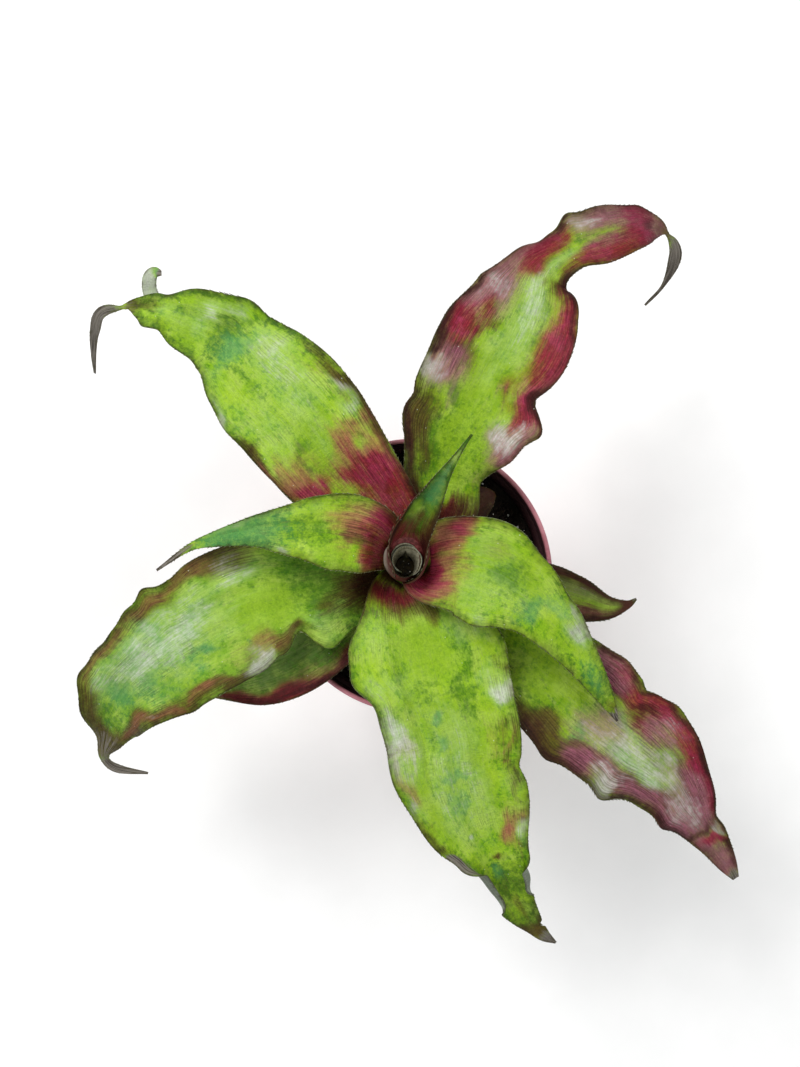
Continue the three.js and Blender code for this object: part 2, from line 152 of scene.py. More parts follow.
# Room: lamps (name, place, width in millimetres, power in watts), the point they face, sky and floor
LAMPS = [
    ("window", (-620, 700, 900), 640, 14.5),
    ("right_side", (900, 100, 800), 700, 5),
    ("front_side", (-100, -950, 800), 700, 4.5),
]
LIT_POINT = (0, 0, 80)
SKY_COLOUR = (0.96, 0.98, 1, 1)
SKY_STRENGTH = 0.27
FLOOR_HALF = 1500

# One entry for each leaf, from the heart of the rosette outwards. Its stations and the numbers before
# them are those of the part, but for teeth, the height in millimetres of its tallest teeth. The rest
# is what the photograph shows of the leaf beyond the part.
# stations: (x, y, z, left width, right width, left lift, right lift), without the lifts where both
# are 0. From here on they count from the foot of the sheath, so the blade's first one is number 3.
# A side goes from -1 (left) to 1 (right). Reaches are in stations and spreads in sides.
# margin: small bulges of the outline (side, station, reach, millimetres).
# rolls: stretches of rolled margin (side, first station, last, share left flat, degrees).
# folds: rises and creases (station, side, reach, spread, millimetres).
# Each tint has its patches of colour (station, side, reach, spread, strength).
LEAVES = [
    dict(
        name="leaf_heart", slot="leaf_heart", ring=0, bend=92, mouth=3.9, wrap=166, open=166, hold=0.97,
        waves=0, crest=0,
        stations=[(-3, 9.2, 95, 12, 12), (-3, 9.7, 98, 12.2, 12.2), (-3, 10.2, 100.6, 12.2, 12.2)],
        pink=[(4.8, 0, 2, 3, 1)], brown=[(5.2, 0, 0.5, 3, 0.2)],
    ),
    dict(
        name="leaf_young_upright", slot="leaf_young", ring=1, bend=97, mouth=6.5, wrap=160, open=160,
        hold=0.5, waves=3, crest=0.2, teeth=0.3,
        stations=[
            (-0.3, 16.2, 105.5, 9, 9), (4, 23.5, 112, 4.6, 5), (7.5, 29.5, 119, 3, 3),
            (11, 35.5, 127, 1.5, 1.6), (15.5, 42, 136, 0.4, 0.4),
        ],
        margin=[(1, 6, 0.9, -0.5), (-1, 6, 0.8, -0.4), (1, 5, 0.6, -0.6)], red=[(2.2, 0, 0.8, 3, 0.75)],
        wine=[
            (1, 0, 1.2, 3, 1), (2.6, 1, 1.4, 0.6, 1), (2.6, 0.8, 0.8, 0.35, 1), (3.6, 0.97, 0.9, 0.16, 1),
            (3.6, -0.97, 1.1, 0.16, 1), (2.8, -1, 1.2, 0.14, 1), (2.9, -0.9, 0.45, 0.25, 1),
        ],
        scurf_and_sheen=[(5.7, 0, 0.8, 0.35, 0.4)],
        dark=[
            (3.2, 0.1, 0.3, 0.4, 0.9), (4.1, 0.1, 0.25, 0.6, 0.6), (5.6, 1, 1.4, 0.4, 1),
            (5.6, -1, 1.4, 0.4, 1), (7, 0, 0.8, 3, 0.9),
        ],
        teal=[(4.7, 0, 0.8, 0.7, 0.85)], brown=[(2.4, 0, 0.8, 3, 0.8), (3.1, 0.1, 0.3, 0.5, 0.6)],
        yellow=[(3.5, 0.7, 0.4, 0.25, 0.8), (3.6, -0.5, 0.4, 0.25, 0.7), (3.9, 0.2, 0.4, 0.3, 0.5)],
    ),
    dict(
        name="leaf_short_left", slot="leaf_green", ring=2, bend=94, mouth=7.4, wrap=62, open=56,
        hold=0.45, waves=5, crest=0.5, teeth=0.35,
        stations=[
            (-14, 12.5, 103, 11.5, 11), (-22, 14.5, 105.5, 12, 12), (-32, 15.5, 106, 9.8, 9.8),
            (-42, 15.5, 105, 6.8, 6.6), (-52, 14.5, 103, 4.5, 4.2), (-62, 12.5, 100, 2.8, 2.4),
            (-71, 9.5, 96.5, 1.2, 1.2), (-82.4, 2.2, 91, 0.4, 0.4),
        ],
        margin=[(-1, 5.8, 0.6, 1), (-1, 4.5, 0.5, 1)],
        folds=[(5, 0.1, 1.5, 0.15, -0.5), (6, 0.5, 1, 0.2, 0.5)],
        red=[
            (2.2, 0, 0.7, 3, 0.9), (2.9, 0.55, 0.42, 0.5, 0.95), (2.8, -0.2, 0.45, 0.7, 0.85),
            (3.4, 0.3, 0.35, 0.3, 0.75),
        ],
        pink=[
            (3, 0.8, 0.45, 0.4, 0.7), (3.7, 0.5, 0.5, 0.4, 0.75), (4.2, 0.35, 0.4, 0.25, 0.35),
            (3.05, -0.75, 0.35, 0.25, 0.75), (9.4, 0.4, 0.4, 1, 0.4), (3.9, -0.2, 0.35, 0.6, 0.35),
        ],
        scurf_and_sheen=[
            (5, 0.75, 0.35, 0.2, 0.35), (5.9, -0.97, 0.3, 0.1, 0.9), (7.1, 0.6, 0.25, 0.3, 0.5),
            (7.8, 0.75, 0.5, 0.3, 0.45), (6.7, 0.9, 0.5, 0.15, 0.5), (8.6, 0.8, 0.2, 0.3, 0.4),
        ],
        dark=[
            (3.85, -0.05, 0.4, 0.18, 0.6), (4.6, 0.08, 0.2, 0.18, 1), (4.4, -0.3, 0.2, 0.15, 0.7),
            (5.9, 0.1, 0.5, 0.5, 0.5), (7.2, -0.75, 0.9, 0.35, 0.7), (8.6, 0.1, 0.3, 0.5, 0.7),
            (5.2, -0.1, 0.9, 0.5, 0.7),
        ],
        teal=[(7.2, 0, 1.3, 1.5, 0.85), (7.6, 0, 1.4, 1.5, 0.9)],
        brown=[(3.5, 0, 0.5, 0.25, 1), (3.75, -0.08, 0.3, 0.16, 0.6), (3.7, 0.15, 0.35, 0.3, 0.5)],
        yellow=[(4.1, -0.6, 0.7, 0.4, 0.8), (5.1, 0.2, 0.6, 0.6, 0.8)], dry=[(9.9, 0, 0.7, 3, 1)],
    ),
    dict(
        name="leaf_top_right", slot="leaf_green", ring=2, bend=93, mouth=7.6, wrap=74, open=72, hold=0.6,
        waves=5, crest=0.6, teeth=0.4,
        stations=[
            (5.6, 2.3, 99.3, 15.5, 11, -4.5, 0), (14, 3.6, 104, 16.4, 15.2), (25, 0.5, 106, 16.5, 15.5),
            (36, -6.5, 105.5, 11.5, 11.5), (44, -15, 103, 8.5, 8.5), (51, -24, 99.5, 6, 6),
            (57, -33, 96, 4, 4), (62, -41, 92, 2, 2), (64.5, -46, 90, 0.4, 0.4),
        ],
        margin=[(-1, 5.5, 0.35, -1), (-1, 6.5, 0.35, -1), (1, 4.9, 0.6, 1.4)],
        folds=[
            (5.2, -0.3, 0.35, 0.4, 0.9), (6.1, 0.25, 0.35, 0.5, -0.9), (4.3, 0.5, 0.8, 0.1, -0.5),
            (7, -0.2, 0.5, 0.3, 0.6),
        ],
        red=[
            (2.5, 0, 0.6, 3, 1), (2.9, 0, 0.4, 0.4, 0.7), (3.35, -0.3, 0.4, 0.22, 0.8),
            (3.85, -0.85, 0.22, 0.35, 0.85), (3.2, 0.15, 0.3, 0.25, 0.8),
        ],
        pink=[
            (3, 0.4, 0.5, 0.5, 1), (3.5, -0.55, 0.35, 0.4, 1), (3.95, -0.6, 0.25, 0.35, 0.8),
            (3.4, 0, 0.4, 0.4, 0.9), (4.8, -0.5, 0.2, 0.2, 0.3), (3.95, 0.1, 0.35, 0.7, 0.4),
        ],
        scurf_and_sheen=[
            (4.6, -0.5, 0.5, 0.3, 0.35), (5, 0.92, 0.3, 0.12, 0.55), (6.5, -0.45, 0.45, 0.3, 0.45),
            (6.85, -0.8, 0.25, 0.15, 0.8), (7.5, -0.6, 0.45, 0.35, 0.6), (7.6, -0.95, 0.3, 0.12, 0.9),
            (7.1, 0.97, 0.3, 0.1, 0.7), (5, 0.3, 1, 0.5, 0.4), (7.4, -0.6, 0.4, 0.35, 0.8),
        ],
        dark=[
            (4.1, -0.08, 0.35, 0.14, 0.5), (4, 0.97, 1, 0.1, 0.6), (5.1, -0.1, 0.22, 0.2, 1),
            (5.5, 0.25, 0.25, 0.25, 0.5), (5.4, -0.4, 0.2, 0.2, 0.5), (7.8, 0.5, 0.6, 0.5, 0.5),
            (9.3, 0, 0.6, 2, 0.85), (5.1, -0.1, 0.3, 0.25, 0.8),
        ],
        teal=[(6.1, 0.25, 0.4, 0.4, 0.9), (6.5, -0.4, 0.5, 0.35, 0.6), (8.8, 0, 0.6, 0.8, 0.6)],
        brown=[(2.9, 0, 0.4, 0.4, 0.5), (3.8, 0, 0.35, 0.16, 0.5), (10.2, 0, 0.5, 2, 0.6)],
        yellow=[
            (3.8, 0.6, 0.8, 0.4, 0.7), (4.8, 0.3, 0.6, 0.3, 0.6), (7.2, 0.4, 0.4, 0.4, 0.5),
            (8.3, -0.5, 0.5, 0.35, 0.6), (6, -0.2, 0.8, 0.3, 0.5), (4.9, -0.35, 0.35, 0.3, 0.8),
            (5, -0.3, 0.8, 0.4, 0.6),
        ],
        dry=[(10.9, 0, 0.6, 3, 1)],
    ),
    dict(
        name="leaf_big_upper_left", slot="leaf_green", ring=3, bend=84, mouth=8, wrap=58, open=54,
        hold=0.45, waves=6, crest=1.1,
        stations=[
            (-9, 17, 91, 13, 13), (-22, 32, 96, 17.5, 17.5, 1, 0), (-37, 51, 99, 20, 20, -1, 1),
            (-51, 65, 98, 17, 18.5, 0, -1), (-61, 76, 95.5, 12.5, 14, 1, -1),
            (-73, 82, 96.5, 10, 9.5, -1, 1), (-84, 85, 92.5, 5, 5.4, 1, 0), (-93, 86, 89.5, 1.3, 2),
            (-101, 85, 86, 1.4, 1.4), (-105, 80, 79, 1.5, 1.5), (-107, 74, 72, 1, 1),
            (-108, 68, 66, 0.4, 0.4),
        ],
        margin=[
            (1, 10.15, 0.3, -1), (-1, 9.9, 0.3, -1.2), (1, 8.5, 0.35, -1.8), (-1, 6.5, 0.3, -1.2),
            (-1, 5.6, 0.3, 1.1), (1, 11.3, 0.7, 0.8), (-1, 11.3, 0.7, 0.8), (-1, 8.5, 0.2, -1.2),
            (-1, 9, 0.2, 1), (1, 7.05, 0.25, 0.8), (1, 6.7, 0.15, -0.6),
        ],
        folds=[
            (7.35, 0.5, 0.3, 0.6, 1.8), (6.8, 0.25, 0.2, 0.7, -1.3), (5, 0.45, 1.2, 0.12, 0.6),
            (5.2, -0.35, 1.4, 0.1, -0.6), (8.6, -0.3, 0.5, 0.3, 0.8),
        ],
        red=[
            (3, 0, 0.5, 3, 1), (3.5, 0.6, 0.48, 0.5, 1), (3.8, 0.15, 0.3, 0.2, 0.7),
            (4.15, -0.6, 0.22, 0.35, 1), (3.9, 0.62, 0.2, 0.25, 0.6),
        ],
        pink=[
            (3.8, 0.4, 0.3, 0.4, 0.8), (4.1, 0.65, 0.3, 0.3, 0.7), (4.1, 0.05, 0.3, 0.5, 0.35),
            (4.4, -0.72, 0.32, 0.35, 0.9), (5.2, 0.75, 0.3, 0.12, 0.3), (4, 0.35, 0.4, 0.5, 0.3),
        ],
        wine=[(3.1, 0.95, 0.5, 0.14, 0.9)],
        scurf_and_sheen=[
            (4.75, 0.85, 0.3, 0.12, 0.7), (5.2, 0.2, 0.5, 0.3, 0.3), (6, 0.4, 0.6, 0.45, 0.6),
            (5.2, -0.6, 0.6, 0.3, 0.4), (5.75, -0.97, 0.3, 0.1, 0.95), (6.4, -0.75, 0.4, 0.25, 0.5),
            (7.3, 0.45, 0.25, 0.35, 0.7), (7.3, -0.2, 0.2, 0.2, 0.4), (8.4, 0.3, 0.25, 0.3, 0.4),
            (5.6, 0.4, 1.2, 0.4, 0.2), (7.9, -0.1, 0.8, 0.5, 0.35), (4.8, 0, 0.8, 0.5, 0.12),
        ],
        dark=[
            (4.55, -0.27, 0.14, 0.18, 1), (5.9, -0.28, 0.4, 0.06, 0.7), (6.95, 0.3, 0.16, 0.5, 0.8),
            (6.9, -0.35, 0.16, 0.3, 0.7), (7, 0.97, 1.8, 0.12, 0.9), (7.85, 0.2, 0.25, 0.28, 0.8),
            (7.5, -0.8, 0.4, 0.16, 0.7), (8.85, -0.1, 0.16, 0.16, 0.9), (9.3, 0.6, 0.5, 0.4, 0.7),
            (9.7, 0, 0.35, 3, 0.7), (9, -0.8, 0.8, 0.35, 0.7), (8.8, 0.85, 0.8, 0.25, 0.8),
            (6, -0.97, 2, 0.12, 0.7), (6.8, 0.3, 0.14, 0.6, 0.7), (5.5, -0.3, 1.2, 0.06, 0.5),
            (5.2, 0.1, 0.9, 0.06, 0.4),
        ],
        teal=[(6.6, -0.1, 0.3, 0.4, 1), (6.5, 0.4, 0.25, 0.25, 0.5)],
        brown=[
            (3.9, 0.1, 0.22, 0.16, 0.7), (4.3, 0.97, 0.9, 0.12, 1), (4.7, -0.97, 0.6, 0.12, 1),
            (5.2, 0.93, 0.5, 0.12, 0.5), (9, 0.3, 0.5, 0.35, 0.5), (9.9, 0, 0.3, 3, 0.6),
            (9.7, 0, 0.4, 3, 0.3), (3.9, 0.6, 0.25, 0.25, 0.5),
        ],
        yellow=[
            (4.35, 0.1, 0.35, 0.3, 0.8), (5.6, -0.3, 0.6, 0.14, 0.6), (7.8, -0.45, 0.7, 0.4, 0.8),
            (7.4, 0.55, 0.25, 0.4, 0.8), (4.4, 0, 0.6, 0.4, 0.8),
        ],
        dry=[(12.6, 0, 2.4, 3, 1)],
    ),
    dict(
        name="leaf_big_bottom", slot="leaf_green", ring=3, bend=83, mouth=7.9, wrap=56, open=52, hold=0.5,
        waves=6, crest=1.1,
        stations=[
            (-3, -5, 90, 12, 13), (1, -14, 95, 21, 22), (3.5, -24, 97, 24.5, 24.5),
            (6, -33.5, 97.5, 24, 20, 0, 1.5), (8.6, -41.5, 96.5, 23, 20.5, 1, 1),
            (12, -51, 94.5, 21.5, 21.5, -1, 0), (13.5, -61, 92, 20.5, 21), (16.5, -72, 88, 20.2, 18.5),
            (20.5, -83, 83.5, 17.5, 15, 0, 1), (26, -94, 79, 12.8, 9.6, 2, 2),
            (32, -106, 73.5, 7.4, 6.8, 2, 3), (38, -115.5, 69.5, 4.5, 4.5), (43, -121.5, 66.5, 2.6, 2.2),
            (48, -125, 64, 0.4, 0.4),
        ],
        margin=[
            (-1, 9.3, 0.3, -1), (1, 5.5, 0.4, 2.2), (1, 11.45, 0.35, -1.2), (-1, 11.9, 0.5, -1),
            (-1, 12.6, 0.3, 1.2), (-1, 14.5, 0.12, -2), (1, 14.4, 0.5, -0.6),
        ],
        rolls=[(1, 11.5, 13.4, 0.6, 178), (-1, 12, 13.2, 0.74, 170)],
        folds=[
            (5, 0.55, 1.1, 0.14, 1), (5, -0.5, 1.1, 0.14, 0.9), (8.5, 0.42, 2, 0.07, -0.8),
            (8.5, 0.2, 2, 0.09, 0.6), (8.5, -0.28, 2, 0.07, -0.6), (5.3, 0, 1, 0.25, -0.7),
        ],
        red=[(3.1, 0.5, 0.3, 0.45, 0.9), (2.9, 0, 0.5, 3, 0.6)],
        pink=[
            (8, 0.8, 0.8, 0.12, 0.4), (9.3, 0.85, 0.4, 0.14, 0.6), (8.3, -0.83, 0.12, 0.06, 0.4),
            (9, -0.83, 0.14, 0.06, 0.4), (8.4, -0.65, 0.6, 0.1, 0.3), (11.2, -0.68, 0.6, 0.18, 0.9),
        ],
        wine=[(2.2, 0, 0.4, 3, 1)],
        scurf_and_sheen=[
            (4, 0.75, 0.7, 0.3, 0.4), (5.6, 0.75, 0.35, 0.3, 0.4), (6.9, -0.88, 0.5, 0.2, 1),
            (6.1, -0.7, 0.4, 0.2, 0.5), (7.2, 0.92, 1.1, 0.2, 0.9), (8.3, 0.85, 0.9, 0.2, 0.75),
            (9.7, 0.9, 0.4, 0.12, 0.7), (8.6, 0, 1.6, 0.3, 0.35), (10.4, 0.2, 0.8, 0.3, 0.3),
            (11.3, -0.93, 0.6, 0.12, 0.8), (11, 0.14, 0.1, 0.07, 0.8), (7.5, 0.4, 2.5, 0.3, 0.3),
            (9.5, -0.2, 2, 0.2, 0.3), (4.3, -0.6, 0.6, 0.3, 0.5), (9.7, -0.85, 0.5, 0.2, 0.4),
            (9.5, 0.3, 1.6, 0.16, 0.25), (8.6, -0.05, 2, 0.08, 0.2),
        ],
        dark=[
            (5.3, 0.5, 0.25, 0.2, 0.7), (6.3, -0.38, 1.4, 0.07, 0.9), (6.6, -0.42, 0.3, 0.16, 0.9),
            (7.4, -0.33, 0.25, 0.12, 0.8), (6.4, 0.05, 0.2, 0.2, 0.8), (4.8, -0.45, 0.3, 0.1, 0.6),
            (10.92, 0.22, 0.08, 0.08, 1), (12.6, 0.05, 0.6, 0.45, 1), (12.8, -0.5, 0.6, 0.35, 1),
            (14.2, 0, 0.6, 2, 1), (12.3, 1, 1.2, 0.4, 1), (12.5, -1, 0.8, 0.3, 1),
            (6, 0.1, 0.12, 0.35, 0.6), (8.5, 0.42, 1.6, 0.05, 0.6), (5, -0.4, 0.6, 0.08, 0.6),
        ],
        teal=[
            (7.15, 0.26, 0.2, 0.12, 1), (8, 0.24, 0.3, 0.1, 0.9), (9.1, 0.1, 0.18, 0.12, 0.9),
            (10, 0.12, 0.35, 0.07, 0.7), (12.3, 0.1, 0.3, 0.2, 0.8),
        ],
        brown=[
            (3.3, 0, 0.35, 0.4, 0.7), (3.75, -0.15, 0.3, 0.25, 0.7), (5.9, -0.9, 0.4, 0.08, 0.4),
            (10.7, 0.88, 0.6, 0.16, 0.7), (7.9, -0.74, 0.25, 0.08, 0.45), (8.7, -0.85, 0.8, 0.09, 0.6),
            (9.8, -0.84, 0.5, 0.1, 0.5), (11.8, -0.1, 0.1, 0.12, 0.8), (13.5, -0.1, 0.3, 0.2, 0.5),
            (14.6, 0, 0.6, 2, 1), (13, 0, 1, 3, 0.3), (3, -0.1, 0.4, 1.2, 0.7), (3.6, 0, 0.3, 0.8, 0.4),
        ],
        yellow=[
            (4.8, 0, 0.8, 0.35, 1), (6.5, 0.25, 0.8, 0.2, 0.6), (10.4, 0.6, 0.6, 0.25, 0.7),
            (9, -0.35, 1.5, 0.14, 0.8), (13.6, 0.2, 0.3, 0.4, 0.8), (5.2, 0.1, 1, 0.6, 0.4),
            (7.5, 0, 1.2, 0.3, 0.5), (8.5, 0.6, 1.6, 0.12, 0.6),
        ],
        dry=[
            (12.4, 1, 0.9, 0.14, 0.3), (11.5, 0.95, 0.35, 0.16, 0.8), (12.6, -1, 0.5, 0.12, 0.3),
            (15.5, 0, 0.7, 3, 0.8),
        ],
    ),
    dict(
        name="leaf_big_upper_right", slot="leaf_crimson", ring=4, bend=80, mouth=9.6, wrap=46, open=44,
        hold=0.45, waves=7, crest=1.1,
        stations=[
            (8, 22, 87, 12, 12), (9.5, 34, 90, 13.5, 12.5, 1, -1), (14, 47, 93, 18.5, 20, 0, 1),
            (21, 61, 95, 20, 17.5, 1, -1), (29, 75, 96, 21, 20.5, 0, 1),
            (35, 88, 95.5, 15.5, 17.8, 0, -2), (39, 98, 95, 9, 11, -1, -2), (48, 104, 93.5, 7, 8, -1, 0),
            (58, 108.5, 91.5, 9, 9.5, 1, 0), (70, 113, 86, 7.5, 8), (78, 114.5, 80, 4, 4.5),
            (83.5, 112.5, 75, 2, 1.3), (87, 107, 69, 2.8, 1.9), (85, 99, 61, 1.5, 1.1),
            (80, 93, 55, 0.4, 0.4),
        ],
        margin=[
            (-1, 4.8, 0.3, 1), (-1, 5.25, 0.15, -1), (-1, 8.3, 0.4, 1.6), (-1, 9.5, 0.3, -1),
            (-1, 10.4, 0.25, 2.5), (-1, 12.5, 0.3, 0.8), (1, 13.9, 0.35, -1.2), (-1, 14, 0.3, -1),
            (1, 5.72, 0.35, 6), (1, 16, 0.6, -0.6), (-1, 16, 0.6, -0.6), (1, 6.25, 0.2, -1.2),
            (1, 9.1, 0.3, 1.2),
        ],
        folds=[
            (8, 0.3, 2, 0.12, 0.6), (7, -0.45, 1.5, 0.1, -0.6), (10.3, -0.2, 0.35, 0.5, -0.8),
            (11, -0.3, 0.5, 0.4, 0.9), (5.5, 0.3, 1.2, 0.12, -0.6),
        ],
        red=[
            (3.1, 0.1, 0.3, 0.35, 0.9), (6.95, -0.72, 0.5, 0.34, 1), (8.95, -0.25, 0.4, 0.32, 1),
            (9.6, -0.6, 0.62, 0.45, 1), (12.5, 0.1, 0.6, 3, 0.8), (6, 0.78, 0.35, 0.3, 1),
            (7.3, 0.74, 1.1, 0.28, 1), (10.9, 0.7, 1.1, 0.42, 1), (12, 0.4, 0.6, 0.5, 0.8),
            (8, 0.95, 0.9, 0.25, 0.9),
        ],
        pink=[
            (6, -0.6, 0.4, 0.35, 0.9), (8, -0.68, 0.75, 0.36, 1), (9.2, -0.7, 0.4, 0.35, 0.9),
            (11.2, -0.62, 0.9, 0.52, 1), (12.6, 0, 0.9, 3, 1), (5, 0.78, 0.6, 0.26, 1),
            (11, 0.32, 0.8, 0.2, 0.8), (13.2, 0.95, 0.5, 0.2, 0.7), (8.3, -0.9, 2.2, 0.25, 0.8),
            (6.6, 0.85, 2, 0.2, 0.8),
        ],
        wine=[
            (2.7, 0, 0.7, 3, 1), (3.4, -0.85, 0.45, 0.35, 1), (4.5, -1, 0.9, 0.12, 0.9),
            (7, -0.98, 0.7, 0.12, 0.9), (10.1, -0.9, 0.25, 0.16, 0.8), (12.9, -0.1, 0.35, 0.4, 0.6),
            (6.25, 0.92, 0.25, 0.16, 0.9), (9, 0.9, 0.8, 0.24, 1), (8, 1, 4.5, 0.07, 0.6),
            (8.5, -1, 4.5, 0.06, 0.6), (6.15, 0.9, 0.3, 0.2, 0.6),
        ],
        scurf_and_sheen=[
            (5.8, -0.95, 0.3, 0.3, 1), (5.8, -0.62, 0.25, 0.3, 0.5), (7.95, -0.75, 0.5, 0.3, 0.65),
            (8.2, -0.5, 0.6, 0.3, 0.4), (10.6, -0.7, 0.4, 0.35, 0.75), (11, -0.45, 0.5, 0.22, 0.5),
            (9.9, 0.15, 0.45, 0.22, 0.5), (7.8, 0.2, 1.6, 0.3, 0.4), (5.3, 0.68, 0.6, 0.2, 0.9),
            (7.25, 0.95, 0.35, 0.1, 0.8), (8.1, 0.05, 1.3, 0.3, 0.55), (8.4, 0, 0.8, 0.35, 0.12),
        ],
        dark=[
            (4.5, -0.42, 0.6, 0.14, 1), (5.7, -0.3, 0.3, 0.12, 1), (7.4, 0.38, 1, 0.06, 0.6),
            (4.6, 0.2, 0.8, 0.5, 0.4), (4.6, -0.65, 0.8, 0.3, 0.9),
        ],
        brown=[
            (3.25, 0.35, 0.3, 0.3, 0.8), (4.7, -0.76, 0.75, 0.32, 0.95), (6.35, -0.75, 0.25, 0.45, 1),
            (6.95, -0.42, 0.55, 0.14, 0.8), (13.7, 0, 0.5, 3, 1), (8.7, 0.3, 0.35, 0.1, 0.5),
            (9.2, 0.8, 0.9, 0.28, 1),
        ],
        yellow=[(4.5, 0.1, 1.1, 0.45, 1), (6, 0.05, 1, 0.35, 0.6), (8.9, 0.45, 0.5, 0.16, 0.6)],
        dry=[(16.2, 0, 2.1, 3, 1)],
    ),
    dict(
        name="leaf_big_lower_left", slot="leaf_silver", ring=4, bend=80, mouth=9.3, wrap=46, open=42,
        hold=0.45, waves=7, crest=1.1,
        stations=[
            (-20, -1.5, 86, 13, 13), (-35, -5.5, 90, 16.5, 16.5), (-49, -7, 92, 17.5, 19.5, 2, 0),
            (-62, -13, 91.5, 21, 20.5), (-75, -21, 89, 20.6, 18, 1, 0), (-86, -29, 86, 19, 16.5, -1, 1),
            (-95, -37, 82, 15.4, 15.4, 1, -1), (-101.5, -46, 76, 12.4, 10, 0, 1),
            (-104, -54.5, 69.5, 6.8, 3.2), (-105, -61.5, 66, 1.8, 1.5), (-101, -66, 63.5, 1.6, 1.4),
            (-91, -68, 61, 0.4, 0.4),
        ],
        margin=[
            (1, 7.1, 0.25, 3.5), (1, 7.6, 0.25, 1.8), (1, 8.5, 0.3, -0.9), (1, 9.55, 0.25, 2),
            (-1, 3.75, 0.25, 3), (-1, 4.22, 0.2, -6), (-1, 5.2, 0.8, 2.4), (-1, 7.7, 0.4, 1),
            (1, 6.4, 0.2, -0.6),
        ],
        rolls=[(-1, 4.2, 6.9, 0.62, -35)],
        folds=[
            (8, 0.35, 0.5, 0.3, 0.8), (7.3, 0.3, 0.3, 0.4, -0.7), (4, -0.55, 0.25, 0.25, 1.4),
            (6, -0.45, 1.2, 0.1, -0.7), (9.2, 0, 0.3, 0.5, -0.6),
        ],
        pink=[
            (6.2, 0.88, 0.7, 0.16, 0.6), (7, 0.82, 0.5, 0.16, 0.6), (8.6, 0.82, 0.9, 0.12, 0.7),
            (5.3, -0.68, 0.7, 0.18, 0.7), (7, -0.82, 0.5, 0.12, 1), (8.3, -0.85, 0.5, 0.1, 0.8),
            (9.3, -0.76, 0.7, 0.12, 0.9), (10.3, -0.72, 0.5, 0.14, 0.8),
        ],
        wine=[(2.6, 0, 0.5, 3, 1)],
        scurf_and_sheen=[
            (3.8, -0.6, 0.4, 0.35, 0.5), (5.4, 0.68, 0.4, 0.28, 0.7), (6.2, 0.3, 0.6, 0.3, 0.3),
            (7, 0.1, 0.7, 0.35, 0.5), (8.2, 0.3, 0.8, 0.4, 0.55), (9.5, 0.5, 0.6, 0.3, 0.5),
            (5.6, -0.87, 0.65, 0.16, 1), (8.6, -0.8, 0.4, 0.1, 0.6), (6.6, 0.5, 2.5, 0.08, 0.25),
            (6.8, 0.15, 2.2, 0.07, 0.25), (7.9, 0.05, 1.8, 0.6, 0.4),
        ],
        dark=[
            (3.5, 0.2, 0.55, 0.6, 1), (4, 0.58, 0.8, 0.25, 1), (3.2, -0.7, 0.2, 0.4, 0.9),
            (4.9, 0.3, 0.05, 0.05, 1), (5.7, 0.44, 0.05, 0.04, 1), (9.15, 0.05, 0.14, 0.35, 0.9),
            (9.25, -0.15, 0.1, 0.22, 0.8), (8.3, -0.32, 0.25, 0.1, 0.8), (7.5, 0.1, 0.12, 0.3, 0.5),
            (10.3, 0.3, 0.6, 0.6, 0.9), (8.2, 0.05, 0.15, 0.2, 0.9), (7.5, 0.5, 0.12, 0.2, 0.8),
            (6.8, -0.33, 0.15, 0.07, 0.9), (10, -0.2, 0.8, 0.4, 0.5), (3.5, 0, 0.6, 0.7, 0.6),
            (7.4, 0.28, 1.6, 0.06, 0.6), (7.8, -0.1, 1.4, 0.05, 0.6),
        ],
        teal=[
            (7.5, 0.45, 0.2, 0.35, 0.9), (8.2, 0.1, 0.3, 0.5, 0.9), (6.75, -0.35, 0.3, 0.1, 1),
            (6.7, 0.2, 0.2, 0.1, 0.8), (5.8, -0.62, 0.1, 0.1, 0.8), (8.2, 0.1, 1.6, 0.7, 0.55),
            (9.2, 0, 0.3, 0.5, 0.8),
        ],
        brown=[
            (3.2, -0.2, 0.4, 0.5, 0.9), (5.6, 0.9, 0.8, 0.2, 0.9), (7.1, 0.72, 0.6, 0.2, 0.8),
            (8.3, 0.9, 1.1, 0.2, 0.45), (9.6, 0.85, 0.7, 0.3, 0.6), (4.6, -0.72, 0.45, 0.22, 0.9),
            (6.5, -0.88, 0.7, 0.16, 0.9), (8, -0.84, 1, 0.2, 0.8), (9.7, -0.74, 1.1, 0.22, 1),
            (10.2, 0.6, 0.6, 0.4, 0.8), (10.7, 0.2, 0.3, 0.2, 0.9), (11.3, 0, 0.75, 3, 1),
            (8, 1, 3, 0.1, 0.4), (8, -1, 3, 0.08, 0.6),
        ],
        yellow=[(4.9, -0.1, 1, 0.38, 1), (6.9, 0.5, 0.6, 0.14, 0.9)],
        dry=[(13.4, 0, 1.4, 3, 1), (11.3, 0, 0.6, 3, 0.45)],
    ),
    dict(
        name="leaf_big_lower_right", slot="leaf_crimson", ring=4, bend=80, mouth=9.9, wrap=46, open=44,
        hold=0.45, waves=7, crest=1.1,
        stations=[
            (13, -11, 84, 9.5, 9.5), (24, -17, 86, 12.5, 12.5), (36, -25, 88, 15.5, 15.5),
            (48, -36, 88.5, 19, 19, -1, 1), (60, -46.5, 87, 19, 19, 1, -1),
            (71, -56, 85, 17, 17.5, -1, 1), (83, -66, 80, 13.4, 14, 1, -1), (92, -78, 74.5, 9.3, 9.5),
            (100, -89, 69, 5.8, 5.7), (106, -98, 65, 3.4, 3.4), (109.5, -103.5, 62.5, 1.2, 1.2),
        ],
        margin=[
            (-1, 6.5, 0.25, 1), (-1, 7.25, 0.18, -1.6), (-1, 8.1, 0.4, 3), (-1, 8.7, 0.4, 2),
            (-1, 10.45, 0.3, -1.8), (1, 6.6, 0.3, 2), (1, 8, 0.22, 2.2), (1, 8.6, 0.3, -0.8),
            (1, 9.8, 0.22, 1.8),
        ],
        folds=[
